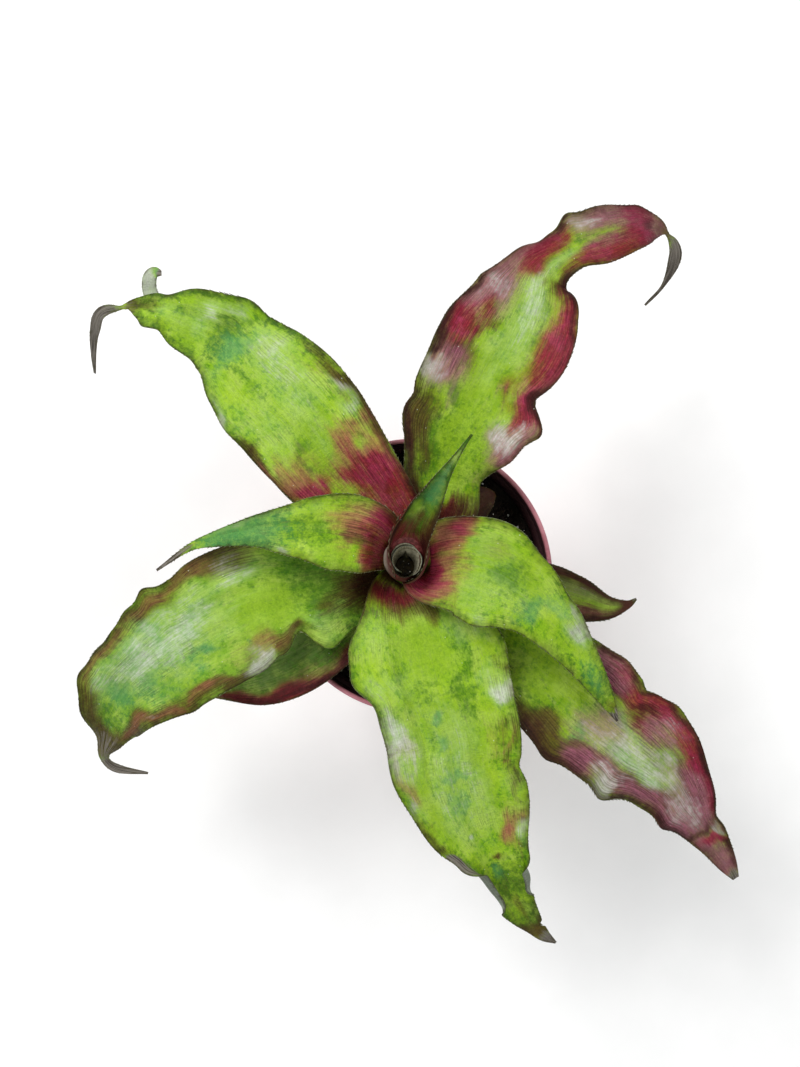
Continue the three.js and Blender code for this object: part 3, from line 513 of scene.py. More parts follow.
            (8.5, 0.1, 2, 0.12, 0.7), (8, -0.45, 1.6, 0.1, -0.7), (10.65, 0, 0.16, 0.9, -0.9),
            (8, 0.55, 1.5, 0.1, -0.6),
        ],
        red=[
            (7.4, -0.76, 0.7, 0.32, 1), (9, -0.8, 0.5, 0.3, 1), (10, -0.88, 0.4, 0.2, 0.9),
            (11.05, -0.3, 0.2, 1, 1), (9.9, 0.1, 0.5, 0.5, 0.3), (8.1, -0.8, 0.5, 0.3, 0.5),
            (8.6, -0.92, 1.6, 0.12, 0.8),
        ],
        pink=[
            (7.2, 0.82, 0.35, 0.22, 1), (7.8, 0.62, 0.6, 0.18, 0.7), (8.8, 0.72, 0.6, 0.22, 0.9),
            (6.4, -0.82, 0.6, 0.28, 1), (8.2, -0.66, 0.5, 0.34, 1), (9.5, -0.68, 0.5, 0.38, 1),
            (7, 0, 0.5, 0.2, 0.4), (9.3, 0.1, 0.6, 0.6, 0.55), (10.1, 0, 0.65, 3, 1),
            (11.1, 0.6, 0.3, 0.5, 1), (12, 0, 0.9, 3, 0.85), (7.3, 0.1, 0.8, 0.5, 0.5),
        ],
        wine=[
            (2.6, 0, 0.7, 3, 1), (6.5, 0.9, 0.7, 0.16, 0.8), (7.5, -0.6, 0.5, 0.14, 0.8),
            (10.7, 0.3, 0.16, 0.8, 0.7), (11.3, -0.78, 0.3, 0.25, 0.9), (12, -0.8, 0.6, 0.3, 0.7),
            (9.8, 0.9, 0.6, 0.16, 0.7), (9.7, -0.97, 0.8, 0.1, 0.8), (8, 1, 4, 0.08, 0.7),
            (8.5, -1, 3.5, 0.07, 0.7),
        ],
        scurf_and_sheen=[
            (7.9, 0.82, 0.5, 0.26, 0.9), (8.35, -0.75, 0.35, 0.28, 0.6), (7.5, 0.05, 0.9, 0.5, 0.6),
            (8.8, 0.1, 0.9, 0.55, 0.75), (10, 0.2, 0.55, 0.6, 0.6), (10.75, -0.62, 0.2, 0.35, 0.85),
            (11.9, 0.1, 0.6, 0.6, 0.5), (10.1, 0.1, 0.7, 0.7, 0.3), (7.3, 0.1, 1, 0.35, 0.2),
        ],
        dark=[
            (4.8, 0.1, 0.8, 0.9, 0.4), (5.9, 0.65, 0.5, 0.25, 0.9), (8.8, 0.55, 0.5, 0.12, 0.6),
            (8.75, 0.42, 0.3, 0.14, 0.8), (8.9, -0.28, 0.4, 0.06, 0.7), (8, 0.48, 1.2, 0.08, 0.8),
        ],
        teal=[
            (6.86, 0.35, 0.14, 0.24, 1), (7.8, 0.3, 0.4, 0.16, 0.9), (8.6, 0.3, 0.6, 0.12, 0.8),
            (7.6, -0.2, 0.5, 0.14, 0.7),
        ],
        brown=[
            (4.6, 0.5, 0.6, 0.3, 0.4), (6.2, 0.88, 0.7, 0.3, 1), (6.9, 0.7, 0.4, 0.16, 0.8),
            (8.7, 0.8, 0.8, 0.26, 0.9), (6.6, -0.62, 0.5, 0.16, 0.9), (8.2, -0.38, 0.9, 0.1, 0.6),
            (8.4, -0.15, 0.6, 0.1, 0.5), (9.35, 0.4, 0.25, 0.25, 0.8), (9.9, -0.2, 0.7, 0.3, 0.35),
            (10.3, 0.9, 0.5, 0.25, 0.8), (10.65, -0.3, 0.14, 0.4, 0.8), (12.1, 0, 0.8, 3, 0.6),
            (10, 0, 0.8, 3, 0.45), (9.4, -0.35, 0.6, 0.12, 0.6), (8.5, 0.7, 2.5, 0.26, 0.8),
            (6.6, 0.68, 0.6, 0.2, 0.9),
        ],
        yellow=[(5.5, 0.2, 0.5, 0.25, 0.6), (5.2, 0, 0.6, 0.5, 0.5)], dry=[(13.2, 0, 0.75, 3, 0.75)],
    ),
    dict(
        name="leaf_low_left", slot="leaf_dark", ring=5, bend=77.5, mouth=10.2, wrap=34, open=32, hold=0.4,
        waves=4, crest=0.6,
        stations=[
            (-15, -7.5, 81.5, 8.5, 8.5), (-28, -17, 83.5, 13, 12.5), (-41, -24, 84, 15, 14),
            (-54, -30, 81.5, 13.2, 11), (-66, -35, 77.5, 6, 5), (-75, -38, 74, 0.5, 0.5),
        ],
        red=[(5.4, -0.9, 2, 0.24, 1), (7.5, 0, 0.7, 1, 0.5)],
        wine=[(5.2, -0.86, 2, 0.16, 0.75), (2.4, 0, 0.7, 3, 1)], scurf_and_sheen=[(5.5, 0, 1.2, 0.6, 0.45)],
        dark=[(4.5, 0, 3, 3, 0.5)], brown=[(5, 0.2, 1.5, 0.6, 0.25)], yellow=[(5.2, 0.3, 1, 0.3, 0.4)],
    ),
    dict(
        name="leaf_small_right", slot="leaf_dark", ring=5, bend=77, mouth=10.3, wrap=22, open=22,
        hold=0.4, waves=4, crest=0.4, teeth=0.4,
        stations=[
            (14, 2.5, 80, 6, 6), (27, -1.5, 82.5, 8.5, 8.5), (40, -4, 84, 9, 10),
            (52, -7, 83.5, 7.3, 8.2), (62, -10, 82, 4, 4.5), (69, -9.5, 80.5, 1.6, 1.6),
            (72.5, -7.5, 79.5, 0.4, 0.4),
        ],
        pink=[(6, 0.55, 2, 0.35, 0.9)],
        wine=[
            (6, -0.97, 3, 0.22, 1), (6, 0.9, 3, 0.28, 1), (8.3, 0, 0.9, 2, 1), (2.4, 0, 0.9, 3, 1),
            (6.5, 0.3, 0.8, 0.2, 0.5), (6, -0.85, 2.5, 0.3, 0.6),
        ],
        scurf_and_sheen=[(6.2, -0.4, 0.5, 0.3, 0.2), (5.5, -0.4, 1.5, 0.4, 0.4)],
        brown=[(5.5, 0, 1.8, 0.6, 0.45), (6.4, -0.5, 1.2, 0.3, 0.4)],
        yellow=[(5.5, 0, 1.2, 0.3, 0.5), (6, 0.1, 1.5, 0.4, 0.7)], dry=[(9.4, 0, 0.5, 2, 0.6)],
    ),
    dict(
        name="leaf_stub_right", slot="leaf_maroon", ring=5, bend=76, mouth=9.9, wrap=18, open=18,
        hold=0.4, waves=2, crest=0.2,
        stations=[
            (7.5, 14.5, 77.2, 5.5, 5.5), (14, 20, 78.5, 7, 7), (20, 24, 78.5, 6, 6),
            (24, 26, 77.5, 3.6, 3.6), (26.5, 27, 76.5, 0.8, 0.8),
        ],
        red=[(4.4, -0.3, 1.2, 0.8, 0.4)], wine=[(4, 0, 6, 5, 1)],
    ),
    dict(
        name="leaf_low_upper_left", slot="leaf_silver", ring=5, bend=77.5, mouth=10.4, wrap=30, open=28,
        hold=0.4, waves=4, crest=0.5,
        stations=[
            (-14, 20, 82.5, 7, 7), (-28, 35.5, 86, 9.5, 9.5), (-45, 53, 87.5, 10.5, 10.5),
            (-61, 69, 87, 8.5, 8.5), (-74, 80.5, 86, 5.5, 5.5), (-82.5, 87, 85, 3, 3),
            (-85.4, 91.5, 85.5, 2.4, 2.4), (-85.2, 95.4, 87.5, 2.5, 2.2), (-83.4, 97.2, 89, 2.2, 1.7),
            (-81, 97, 90, 0.8, 0.8),
        ],
        wine=[(3, 0, 0.9, 3, 0.9)], scurf_and_sheen=[(9.3, 0, 1.5, 3, 1), (9.8, 0, 1, 3, 1)],
        dark=[(5.5, 0, 2, 3, 0.5)], teal=[(11.6, 0, 0.6, 3, 0.9)], dry=[(12.3, 0, 1, 3, 0.8)],
    ),
]

# Tints in the order in which the materials read them
# The dark patches are partly painted shade under the leaves above and in creases.
# The pale scurf patches are partly painted sheen on the crests of the waves.
TINTS = ["red", "pink", "wine", "scurf_and_sheen", "dark", "teal", "brown", "yellow", "dry"]


def colour(red, green, blue):
    """Linear colour from the 0 to 255 values of a screen."""
    def channel(value):
        share = value / 255
        return share / 12.92 if share <= 0.04045 else ((share + 0.055) / 1.055) ** 2.4
    return (channel(red), channel(green), channel(blue), 1.0)


def smooth(value, low, high):
    """Share from 0 at low to 1 at high, eased at both ends."""
    share = np.clip((value - low) / (high - low), 0, 1)
    return share * share * (3 - 2 * share)


def lumps(x, y, seed):
    """Smooth noise from -1 to 1 with one lump for each unit of x and y."""
    size = 64
    table = np.random.default_rng(seed).uniform(-1, 1, (size, size))
    column = np.floor(x).astype(int)
    row = np.floor(y).astype(int)
    across = smooth(x - column, 0, 1)
    up = smooth(y - row, 0, 1)

    def corner(i, j):
        return table[(column + i) % size, (row + j) % size]

    near = corner(0, 0) * (1 - across) + corner(1, 0) * across
    far = corner(0, 1) * (1 - across) + corner(1, 1) * across
    return near * (1 - up) + far * up


# Mesh helpers

def make_piece(name, points, faces, material, attributes=(), flat=False):
    """Mesh object from points in millimetres, faces, and vertex attributes by name."""
    mesh = bpy.data.meshes.new(name)
    mesh.from_pydata((np.asarray(points) * MM).tolist(), [], faces)
    for key, values in dict(attributes).items():
        kind = "FLOAT" if values.ndim == 1 else "FLOAT_VECTOR"
        made = mesh.attributes.new(key, kind, "POINT")
        made.data.foreach_set("value" if kind == "FLOAT" else "vector", values.astype(np.float32).ravel())
    mesh.validate()
    if not flat:
        mesh.shade_smooth()
    mesh.materials.append(material)
    piece = bpy.data.objects.new(name, mesh)
    bpy.context.scene.collection.objects.link(piece)
    return piece


def grid_faces(rows, columns):
    """Quads of a grid of points whose last column joins the first."""
    faces = []
    for i in range(rows - 1):
        for j in range(columns):
            a = i * columns + j
            b = i * columns + (j + 1) % columns
            faces.append((a, b, b + columns, a + columns))
    return faces


def full_turn(sides):
    """Angles of so many even steps round a circle."""
    return np.linspace(0, 2 * math.pi, sides, endpoint=False)


def rings(centres, reach, turns, capped=False):
    """Points and faces of a skin through rings; reach holds a radius for each ring and turn."""
    points = np.stack([
        centres[..., 0] + reach * np.cos(turns),
        centres[..., 1] + reach * np.sin(turns),
        centres[..., 2] + 0 * turns,
    ], 2).reshape(-1, 3)
    sides = len(turns)
    faces = grid_faces(len(reach), sides)
    if capped:
        faces.append(tuple(reversed(range(sides))))
        faces.append(tuple(range(len(points) - sides, len(points))))
    return points, faces


def revolve(profile, sides, x=0.0, y=0.0):
    """Points and faces of a body of revolution from (radius, height) pairs, capped where it is open."""
    radius, height = np.array(profile, float).T[..., None]
    centres = np.stack([x + 0 * height, y + 0 * height, height], 2)
    return rings(centres, radius, full_turn(sides), capped=profile[0][0] > 0)


# Leaf form: the same surface as in the part

def stock_top(radius):
    """Height of the stock's sloping top at a radius."""
    share = (STOCK_SHOULDER_RADIUS - radius) / (STOCK_SHOULDER_RADIUS - STOCK_TOP_RADIUS)
    return STOCK_SHOULDER + (STOCK_TOP - STOCK_SHOULDER) * min(max(share, 0), 1)


def facing_of(leaf):
    """Unit direction in which the leaf leaves the stem."""
    first = np.array(leaf["stations"][0][:2]) - AXIS
    return first / math.hypot(*first)


def all_stations(leaf):
    """Stations from the foot of the sheath to the tip, each with half its clasping angle."""
    radius = FIRST_RING + leaf["ring"] * RING_PITCH
    facing = facing_of(leaf)
    wrap, opened, channel = (math.radians(angle) for angle in (leaf["wrap"], leaf["open"], CHANNEL))
    foot = stock_top(radius - BLADE / 2) + 2 * GAP
    sheath = [
        (radius, foot, wrap),
        (radius, (foot + leaf["bend"]) / 2, (wrap + opened) / 2),
        (leaf["mouth"], leaf["bend"], opened),
    ]
    rows = [
        [*(AXIS + out * facing), height, out * angle, out * angle, 0, 0, angle]
        for out, height, angle in sheath
    ]
    for i, station in enumerate(leaf["stations"]):
        clasp = channel + (opened - channel) * leaf["hold"] ** (i + 1)
        rows.append([*station[:5], *(station[5:] or (0, 0)), clasp])
    return np.array(rows, float)


def rows_at(rows, u):
    """Smooth rows of values at places u along the stations."""
    i = np.minimum(np.floor(u).astype(int), len(rows) - 2)
    f = (u - i)[:, None]
    longer = np.vstack([2 * rows[0] - rows[1], rows, 2 * rows[-1] - rows[-2]])
    a, b, c, d = (longer[i + k] for k in range(4))
    m = (c - a) / 2
    n = (d - b) / 2
    curve = 2 * (b - c) + m + n
    bend = 3 * (c - b) - 2 * m - n
    return ((curve * f + bend) * f + m) * f + b


def bulges(leaf, side, u):
    """Extra width in mm of one side of a leaf at places u."""
    extra = np.zeros(len(u))
    for where, place, reach, height in leaf.get("margin", ()):
        if where == side:
            extra += height * np.exp(-((u - place) / reach) ** 2)
    return extra


def half_section(width, bow, lift, rolls, shares):
    """Across and up positions along one half of a cross-section, for each row."""
    turn = shares[None, :] * (width / bow)[:, None]
    for strength, start in rolls:
        rolled = smooth(shares, start, start + ROLL_SPAN * (1 - start))
        turn = turn + strength[:, None] * rolled[None, :]
    middle = (turn[:, 1:] + turn[:, :-1]) / 2
    step = np.diff(shares)[None, :] * width[:, None]
    nothing = np.zeros((len(width), 1))
    across = np.hstack([nothing, np.cumsum(np.cos(middle) * step, 1)])
    up = np.hstack([nothing, np.cumsum(np.sin(middle) * step, 1)])
    return across, up + lift * shares[None, :] ** 2


def margin_rolls(leaf, side, u):
    """Turn of each rolled margin on one side at places u, with the share that stays flat."""
    rolls = []
    for where, start, end, flat, degrees in leaf.get("rolls", ()):
        if where == side:
            ease = ROLL_EASE * (end - start)
            reach = smooth(u, start, start + ease) * (1 - smooth(u, end - ease, end))
            rolls.append((math.radians(degrees) * reach, flat))
    return rolls


def leaf_surface(leaf, rows, u, half):
    """Middle surface of a leaf, in rows along u and columns from the left margin to the right.

    half holds the side shares from the midrib to a margin, from 0 to 1.
    """
    last = len(rows) - 1
    at = rows_at(rows, u)
    ahead = rows_at(rows, np.minimum(u + SLOPE_STEP, last))
    behind = rows_at(rows, np.maximum(u - SLOPE_STEP, 0))
    along = unit((ahead - behind)[:, :3])
    heading = unit(along[:, :2] + FACING_PULL * facing_of(leaf))
    across = np.stack([heading[:, 1], -heading[:, 0], np.zeros(len(u))], 1)
    up = unit(np.cross(across, along))
    bow = np.maximum(at[:, 3] + at[:, 4], 2 * NARROWEST) / 2 / at[:, 7]
    share = u / last
    swell = np.sin(math.pi * share) ** 2
    halves = []
    widths = []
    for side, column in ((-1, 3), (1, 4)):
        width = np.maximum(at[:, column], NARROWEST)
        phase = leaf["waves"] * (1 if side > 0 else 2.5)
        ripple = leaf["crest"] * swell * np.minimum(1, width / FULL_WAVE_WIDTH)
        ripple = ripple * np.sin(2 * math.pi * leaf["waves"] * share + phase)
        width = np.maximum(width + bulges(leaf, side, u), NARROWEST)
        lift = (at[:, column + 2] + ripple)[:, None]
        halves.append(half_section(width, bow, lift, margin_rolls(leaf, side, u), half))
        widths.append(width)
    (left, left_up), (right, right_up) = halves
    flat = np.hstack([-left[:, :0:-1], right])
    high = np.hstack([left_up[:, :0:-1], right_up])
    points = at[:, None, :3] + across[:, None] * flat[..., None] + up[:, None] * high[..., None]
    return points, widths


def unit(vectors):
    """The vectors at length 1."""
    return vectors / np.linalg.norm(vectors, axis=-1, keepdims=True)


def normals_of(points):
    """Unit normals of a grid of points, up on the upper face of a leaf."""
    along = np.gradient(points, axis=0)
    across = np.gradient(points, axis=1)
    normal = np.cross(across, along)
    return normal / np.maximum(np.linalg.norm(normal, axis=2), 1e-9)[..., None]


def even_stations(rows, step):
    """Places along the stations at even steps of length, and the length run at each."""
    fine = np.linspace(0, len(rows) - 1, 60 * len(rows))
    line = rows_at(rows, fine)[:, :3]
    run = np.concatenate([[0], np.cumsum(np.linalg.norm(np.diff(line, axis=0), axis=1))])
    count = int(run[-1] / step) + 2
    length = np.linspace(0, run[-1], count)
    return np.interp(length, run, fine), length


def relief(run, across, side, seed):
    """Height in mm of the leaf's surface above its smooth form.

    The noise is stretched to lumps of so many mm across and along the leaf.
    """
    swells = SWELL_HEIGHT * lumps(across / 10 + 3, run / 15, seed + 3)
    puckers = PUCKER_HEIGHT * lumps(across / 4.5 + 7, run / 8, seed)
    puckers += 0.5 * PUCKER_HEIGHT * lumps(across / 2.1, run / 4 + 3, seed + 1)
    pleats = PLEAT_HEIGHT * lumps(across / 4 + 5, run / 45, seed + 4)
    groove = -MIDRIB_DEPTH * np.exp(-(across / 2.4) ** 2)
    ruffle = lumps(run / RUFFLE_LENGTH, np.sign(side) * 5 + 0.5, seed + 2)
    ruffle = RUFFLE_HEIGHT * ruffle * np.abs(side) ** 5
    return swells + puckers + pleats + groove + ruffle


def folds(leaf, u, side):
    """Height in mm of the rises and creases that the photograph shows on a leaf."""
    height = np.zeros(np.broadcast(u, side).shape)
    for station, place, reach, spread, rise in leaf.get("folds", ()):
        height += rise * np.exp(-((u - station) / reach) ** 2 - ((side - place) / spread) ** 2)
    return height


def paint_tints(leaf, u, side, across, run, seed):
    """Strength of each tint at every point of the grid, with repeats of a tint laid over each other.

    Slow noise bends the patches, so that none of them is a plain oval.
    """
    u = u + PATCH_DRIFT * lumps(across / 5, run / 7, seed)
    u = u + PATCH_RIPPLE * lumps(across / 1.6, run / 5, seed + 1)
    side = side + PATCH_SWAY * lumps(across / 6 + 9, run / 8, seed + 2)
    tints = []
    for tint in TINTS:
        bare = np.ones(u.shape)
        for station, place, reach, spread, strength in leaf.get(tint, ()):
            distance = ((u - station) / reach) ** 2 + ((side - place) / spread) ** 2
            bare *= 1 - strength * 0.5 ** distance ** PATCH_EDGE
        tints.append(1 - bare)
    return tints


def teeth(points, normal, run, tallest, seed):
    """Tiny forward-pointing teeth on both margins: their points, faces and the vertices they copy."""
    rng = np.random.default_rng(seed)
    rows, columns = points.shape[:2]
    spots = []
    faces = []
    source = []
    for margin, inner in ((0, 2), (columns - 1, columns - 3)):
        place = run[-1] * TOOTHED[0]
        while place < run[-1] * TOOTHED[1]:
            i = int(np.searchsorted(run, place))
            out = points[i, margin] - points[i, inner]
            out /= max(np.linalg.norm(out), 1e-9)
            height = tallest * rng.uniform(*TOOTH_HEIGHTS)
            behind, root, ahead = (
                points[min(max(k, 0), rows - 1), margin] - TOOTH_FOOT * out for k in (i - 1, i, i + 1)
            )
            peak = points[min(i + 2, rows - 1), margin] + height * out
            thick = TOOTH_THICKNESS * normal[i, margin]
            start = len(spots)
            spots += [behind, ahead, root + thick, root - thick, peak]
            faces += [
                (start, start + 2, start + 4), (start + 2, start + 1, start + 4),
                (start + 1, start + 3, start + 4), (start + 3, start, start + 4),
                (start, start + 3, start + 1, start + 2),
            ]
            source += [i * columns + margin] * 5
            place += TOOTH_PITCH * rng.uniform(*TOOTH_STEPS)
    return np.array(spots), faces, np.array(source)


def closed_sheet(upper, lower):
    """Points and faces of the thin closed body between two grids of points."""
    around = np.concatenate([upper, lower[:, ::-1]], 1)
    rows, count = around.shape[:2]
    faces = grid_faces(rows, count)
    for row in (0, rows - 1):
        for j in range(count // 2 - 1):
            a = row * count + j
            b = row * count + count - 1 - j
            quad = (a, a + 1, b - 1, b)
            faces.append(quad if row else quad[::-1])
    return around.reshape(-1, 3), faces


def leaf_fields(leaf, index, u, run, side, width, widest):
    """Vertex attributes of both faces of a leaf: directions, margins and tints."""
    across = side * width

    def both(field):
        field = np.broadcast_to(field, across.shape)
        return np.concatenate([field, field[:, ::-1]], 1).ravel()

    edge = (1 - np.abs(side)) * width
    under = np.concatenate([np.zeros_like(across), np.ones_like(across)], 1).ravel()
    vein = side * widest * smooth(width, 0, 3)
    grid = np.broadcast_arrays(u, side, across, run)
    tints = [both(tint) for tint in paint_tints(leaf, *grid, PAINT_SEED + 4 * index)]
    return {
        "grain": np.stack([both(across), both(run), both(vein)], 1),
        "place": np.stack([both(edge), under, both(smooth(width, 0.5, 6))], 1),
        "warm_tints": np.stack(tints[0:3], 1),
        "cool_tints": np.stack(tints[3:6], 1),
        "dull_tints": np.stack(tints[6:9], 1),
    }


def build_leaf(leaf, index, material):
    """One leaf as a thin closed body with its relief, its teeth and the fields that colour it."""
    rows = all_stations(leaf)
    last = len(rows) - 1
    u, run = even_stations(rows, ROW_STEP)
    widest = max(rows[:, 3].max(), rows[:, 4].max())
    share = np.linspace(0, 1, max(int(widest / COLUMN_STEP), FEWEST_COLUMNS) + 1)
    # The columns stand closer together toward the margin
    half = share * (1.15 - 0.15 * share ** 2)
    surface, (left, right) = leaf_surface(leaf, rows, u, half)
    normal = normals_of(surface)
    side = np.concatenate([-half[:0:-1], half])[None, :]
    width = np.where(side < 0, left[:, None], right[:, None])
    fade = smooth(run, *RELIEF_LENGTH)[:, None] * smooth(width, *RELIEF_WIDTH)
    rise = relief(run[:, None], side * width, side, RELIEF_SEED + 3 * index) * fade
    rise += folds(leaf, u[:, None], side)
    thin = 1 - np.abs(side) ** 4
    thickness = (BLADE - MARGIN_THICKNESS) * thin * smooth(width, *THICKNESS_WIDTH)
    thickness = MARGIN_THICKNESS + thickness
    thickness = thickness * (1 - TIP_THINNING * smooth(u, last - 0.4, last))[:, None]
    upper = surface + normal * (rise + thickness / 2)[..., None]
    lower = surface + normal * (rise - thickness / 2)[..., None]
    points, faces = closed_sheet(upper, lower)
    fields = leaf_fields(leaf, index, u[:, None], run[:, None], side, width, widest)
    if leaf["ring"] > 0:
        tallest = leaf.get("teeth", TOOTH_HEIGHT)
        spots, more, source = teeth(surface, normal, run, tallest, TEETH_SEED + index)
        # The grid of both faces is twice as wide as the surface that the teeth were set on
        columns = side.size
        source = source // columns * 2 * columns + source % columns
        first = len(points)
        faces += [tuple(first + k for k in face) for face in more]
        points = np.vstack([points, spots])
        fields = {key: np.vstack([value, value[source]]) for key, value in fields.items()}
        # Each tooth's fifth point is its peak, and it lies past the edge
        fields["place"][first + 4::5, 0] = -1
    piece = make_piece(leaf["name"] + "_blade", points, faces, material, fields)
    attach(piece, "root")
    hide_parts(leaf["name"])


# Materials

class Field:
    """Output of a node. Sums and products of fields add the nodes that work them out."""

    def __init__(self, graph, socket):
        self.graph = graph
        self.socket = socket

    def __add__(self, other):
        return self.graph.math("ADD", self, other)

    def __sub__(self, other):
        return self.graph.math("SUBTRACT", self, other)

    def __rsub__(self, other):
        return self.graph.math("SUBTRACT", other, self)

    def __mul__(self, other):
        return self.graph.math("MULTIPLY", self, other)

    __radd__ = __add__
    __rmul__ = __mul__


class Graph:
    """Short way to write a material. A value is a number, a vector or a field."""

    def __init__(self, name):
        self.material = bpy.data.materials.new(name)
        self.material.use_nodes = True
        self.tree = self.material.node_tree
        self.tree.nodes.clear()

    def put(self, kind, inputs, output=0, **settings):
        """Add a node with its inputs and settings, and return one of its outputs."""
        made = self.tree.nodes.new("ShaderNode" + kind)
        for key, value in settings.items():
            setattr(made, key, value)
        for key, value in inputs.items():
            if isinstance(value, Field):
                self.tree.links.new(value.socket, made.inputs[key])
            else:
                made.inputs[key].default_value = value
        if not made.outputs:
            return None
        return Field(self, made.outputs[output])

    def math(self, operation, *values):
        """Value worked out from others by an operation of the Math node."""
        return self.put("Math", dict(enumerate(values)), operation=operation)

    def mix(self, share, first, second, way="MIX"):
        """Blend of two colours, each a field or the three values of a screen colour."""
        first, second = (end if isinstance(end, Field) else colour(*end) for end in (first, second))
        inputs = {0: share, 6: first, 7: second}
        return self.put("Mix", inputs, output=2, data_type="RGBA", blend_type=way)

    def rise(self, value, low, high):
        """Share from 0 at low to 1 at high, eased at both ends."""
        return self.put("MapRange", {0: value, 1: low, 2: high}, interpolation_type="SMOOTHSTEP")

    def join(self, x, y, z=0.0):
        return self.put("CombineXYZ", {0: x, 1: y, 2: z})

    def split(self, name):
        """The three numbers of a vertex attribute."""
        whole = self.put("Attribute", {}, output="Vector", attribute_name=name)
        parts = self.put("SeparateXYZ", {0: whole}).socket.node.outputs
        return [Field(self, part) for part in parts]

    def place(self):
        """Position on the object in millimetres."""
        spot = self.put("TexCoord", {}, output="Object")
        return self.put("VectorMath", {0: spot, "Scale": 1 / MM}, operation="SCALE")

    def stretch(self, vector, *scale):
        return self.put("Mapping", {"Vector": vector, "Scale": scale})

    def noise(self, vector, scale, detail, roughness):
        inputs = {"Vector": vector, "Scale": scale, "Detail": detail, "Roughness": roughness}
        return self.put("TexNoise", inputs)

    def cloud(self, x, y, z, detail, roughness, low, high):
        """Noise over two fields, slice z of it, spread so that low becomes 0 and high 1."""
        return self.rise(self.noise(self.join(x, y, z), 1, detail, roughness), low, high)

    def cells(self, vector, scale, output="Distance"):
        return self.put("TexVoronoi", {"Vector": vector, "Scale": scale}, output=output)

    def finish(self, base, roughness, height, **shader):
        """Close the graph with a surface. height is the fine relief in millimetres."""
        normal = self.put("Bump", {"Height": height, "Distance": MM})
        inputs = {"Base Color": base, "Roughness": roughness, "Normal": normal}
        inputs.update({key.replace("_", " "): value for key, value in shader.items()})
        surface = self.put("BsdfPrincipled", inputs)
        self.put("OutputMaterial", {"Surface": surface})
        return self.material


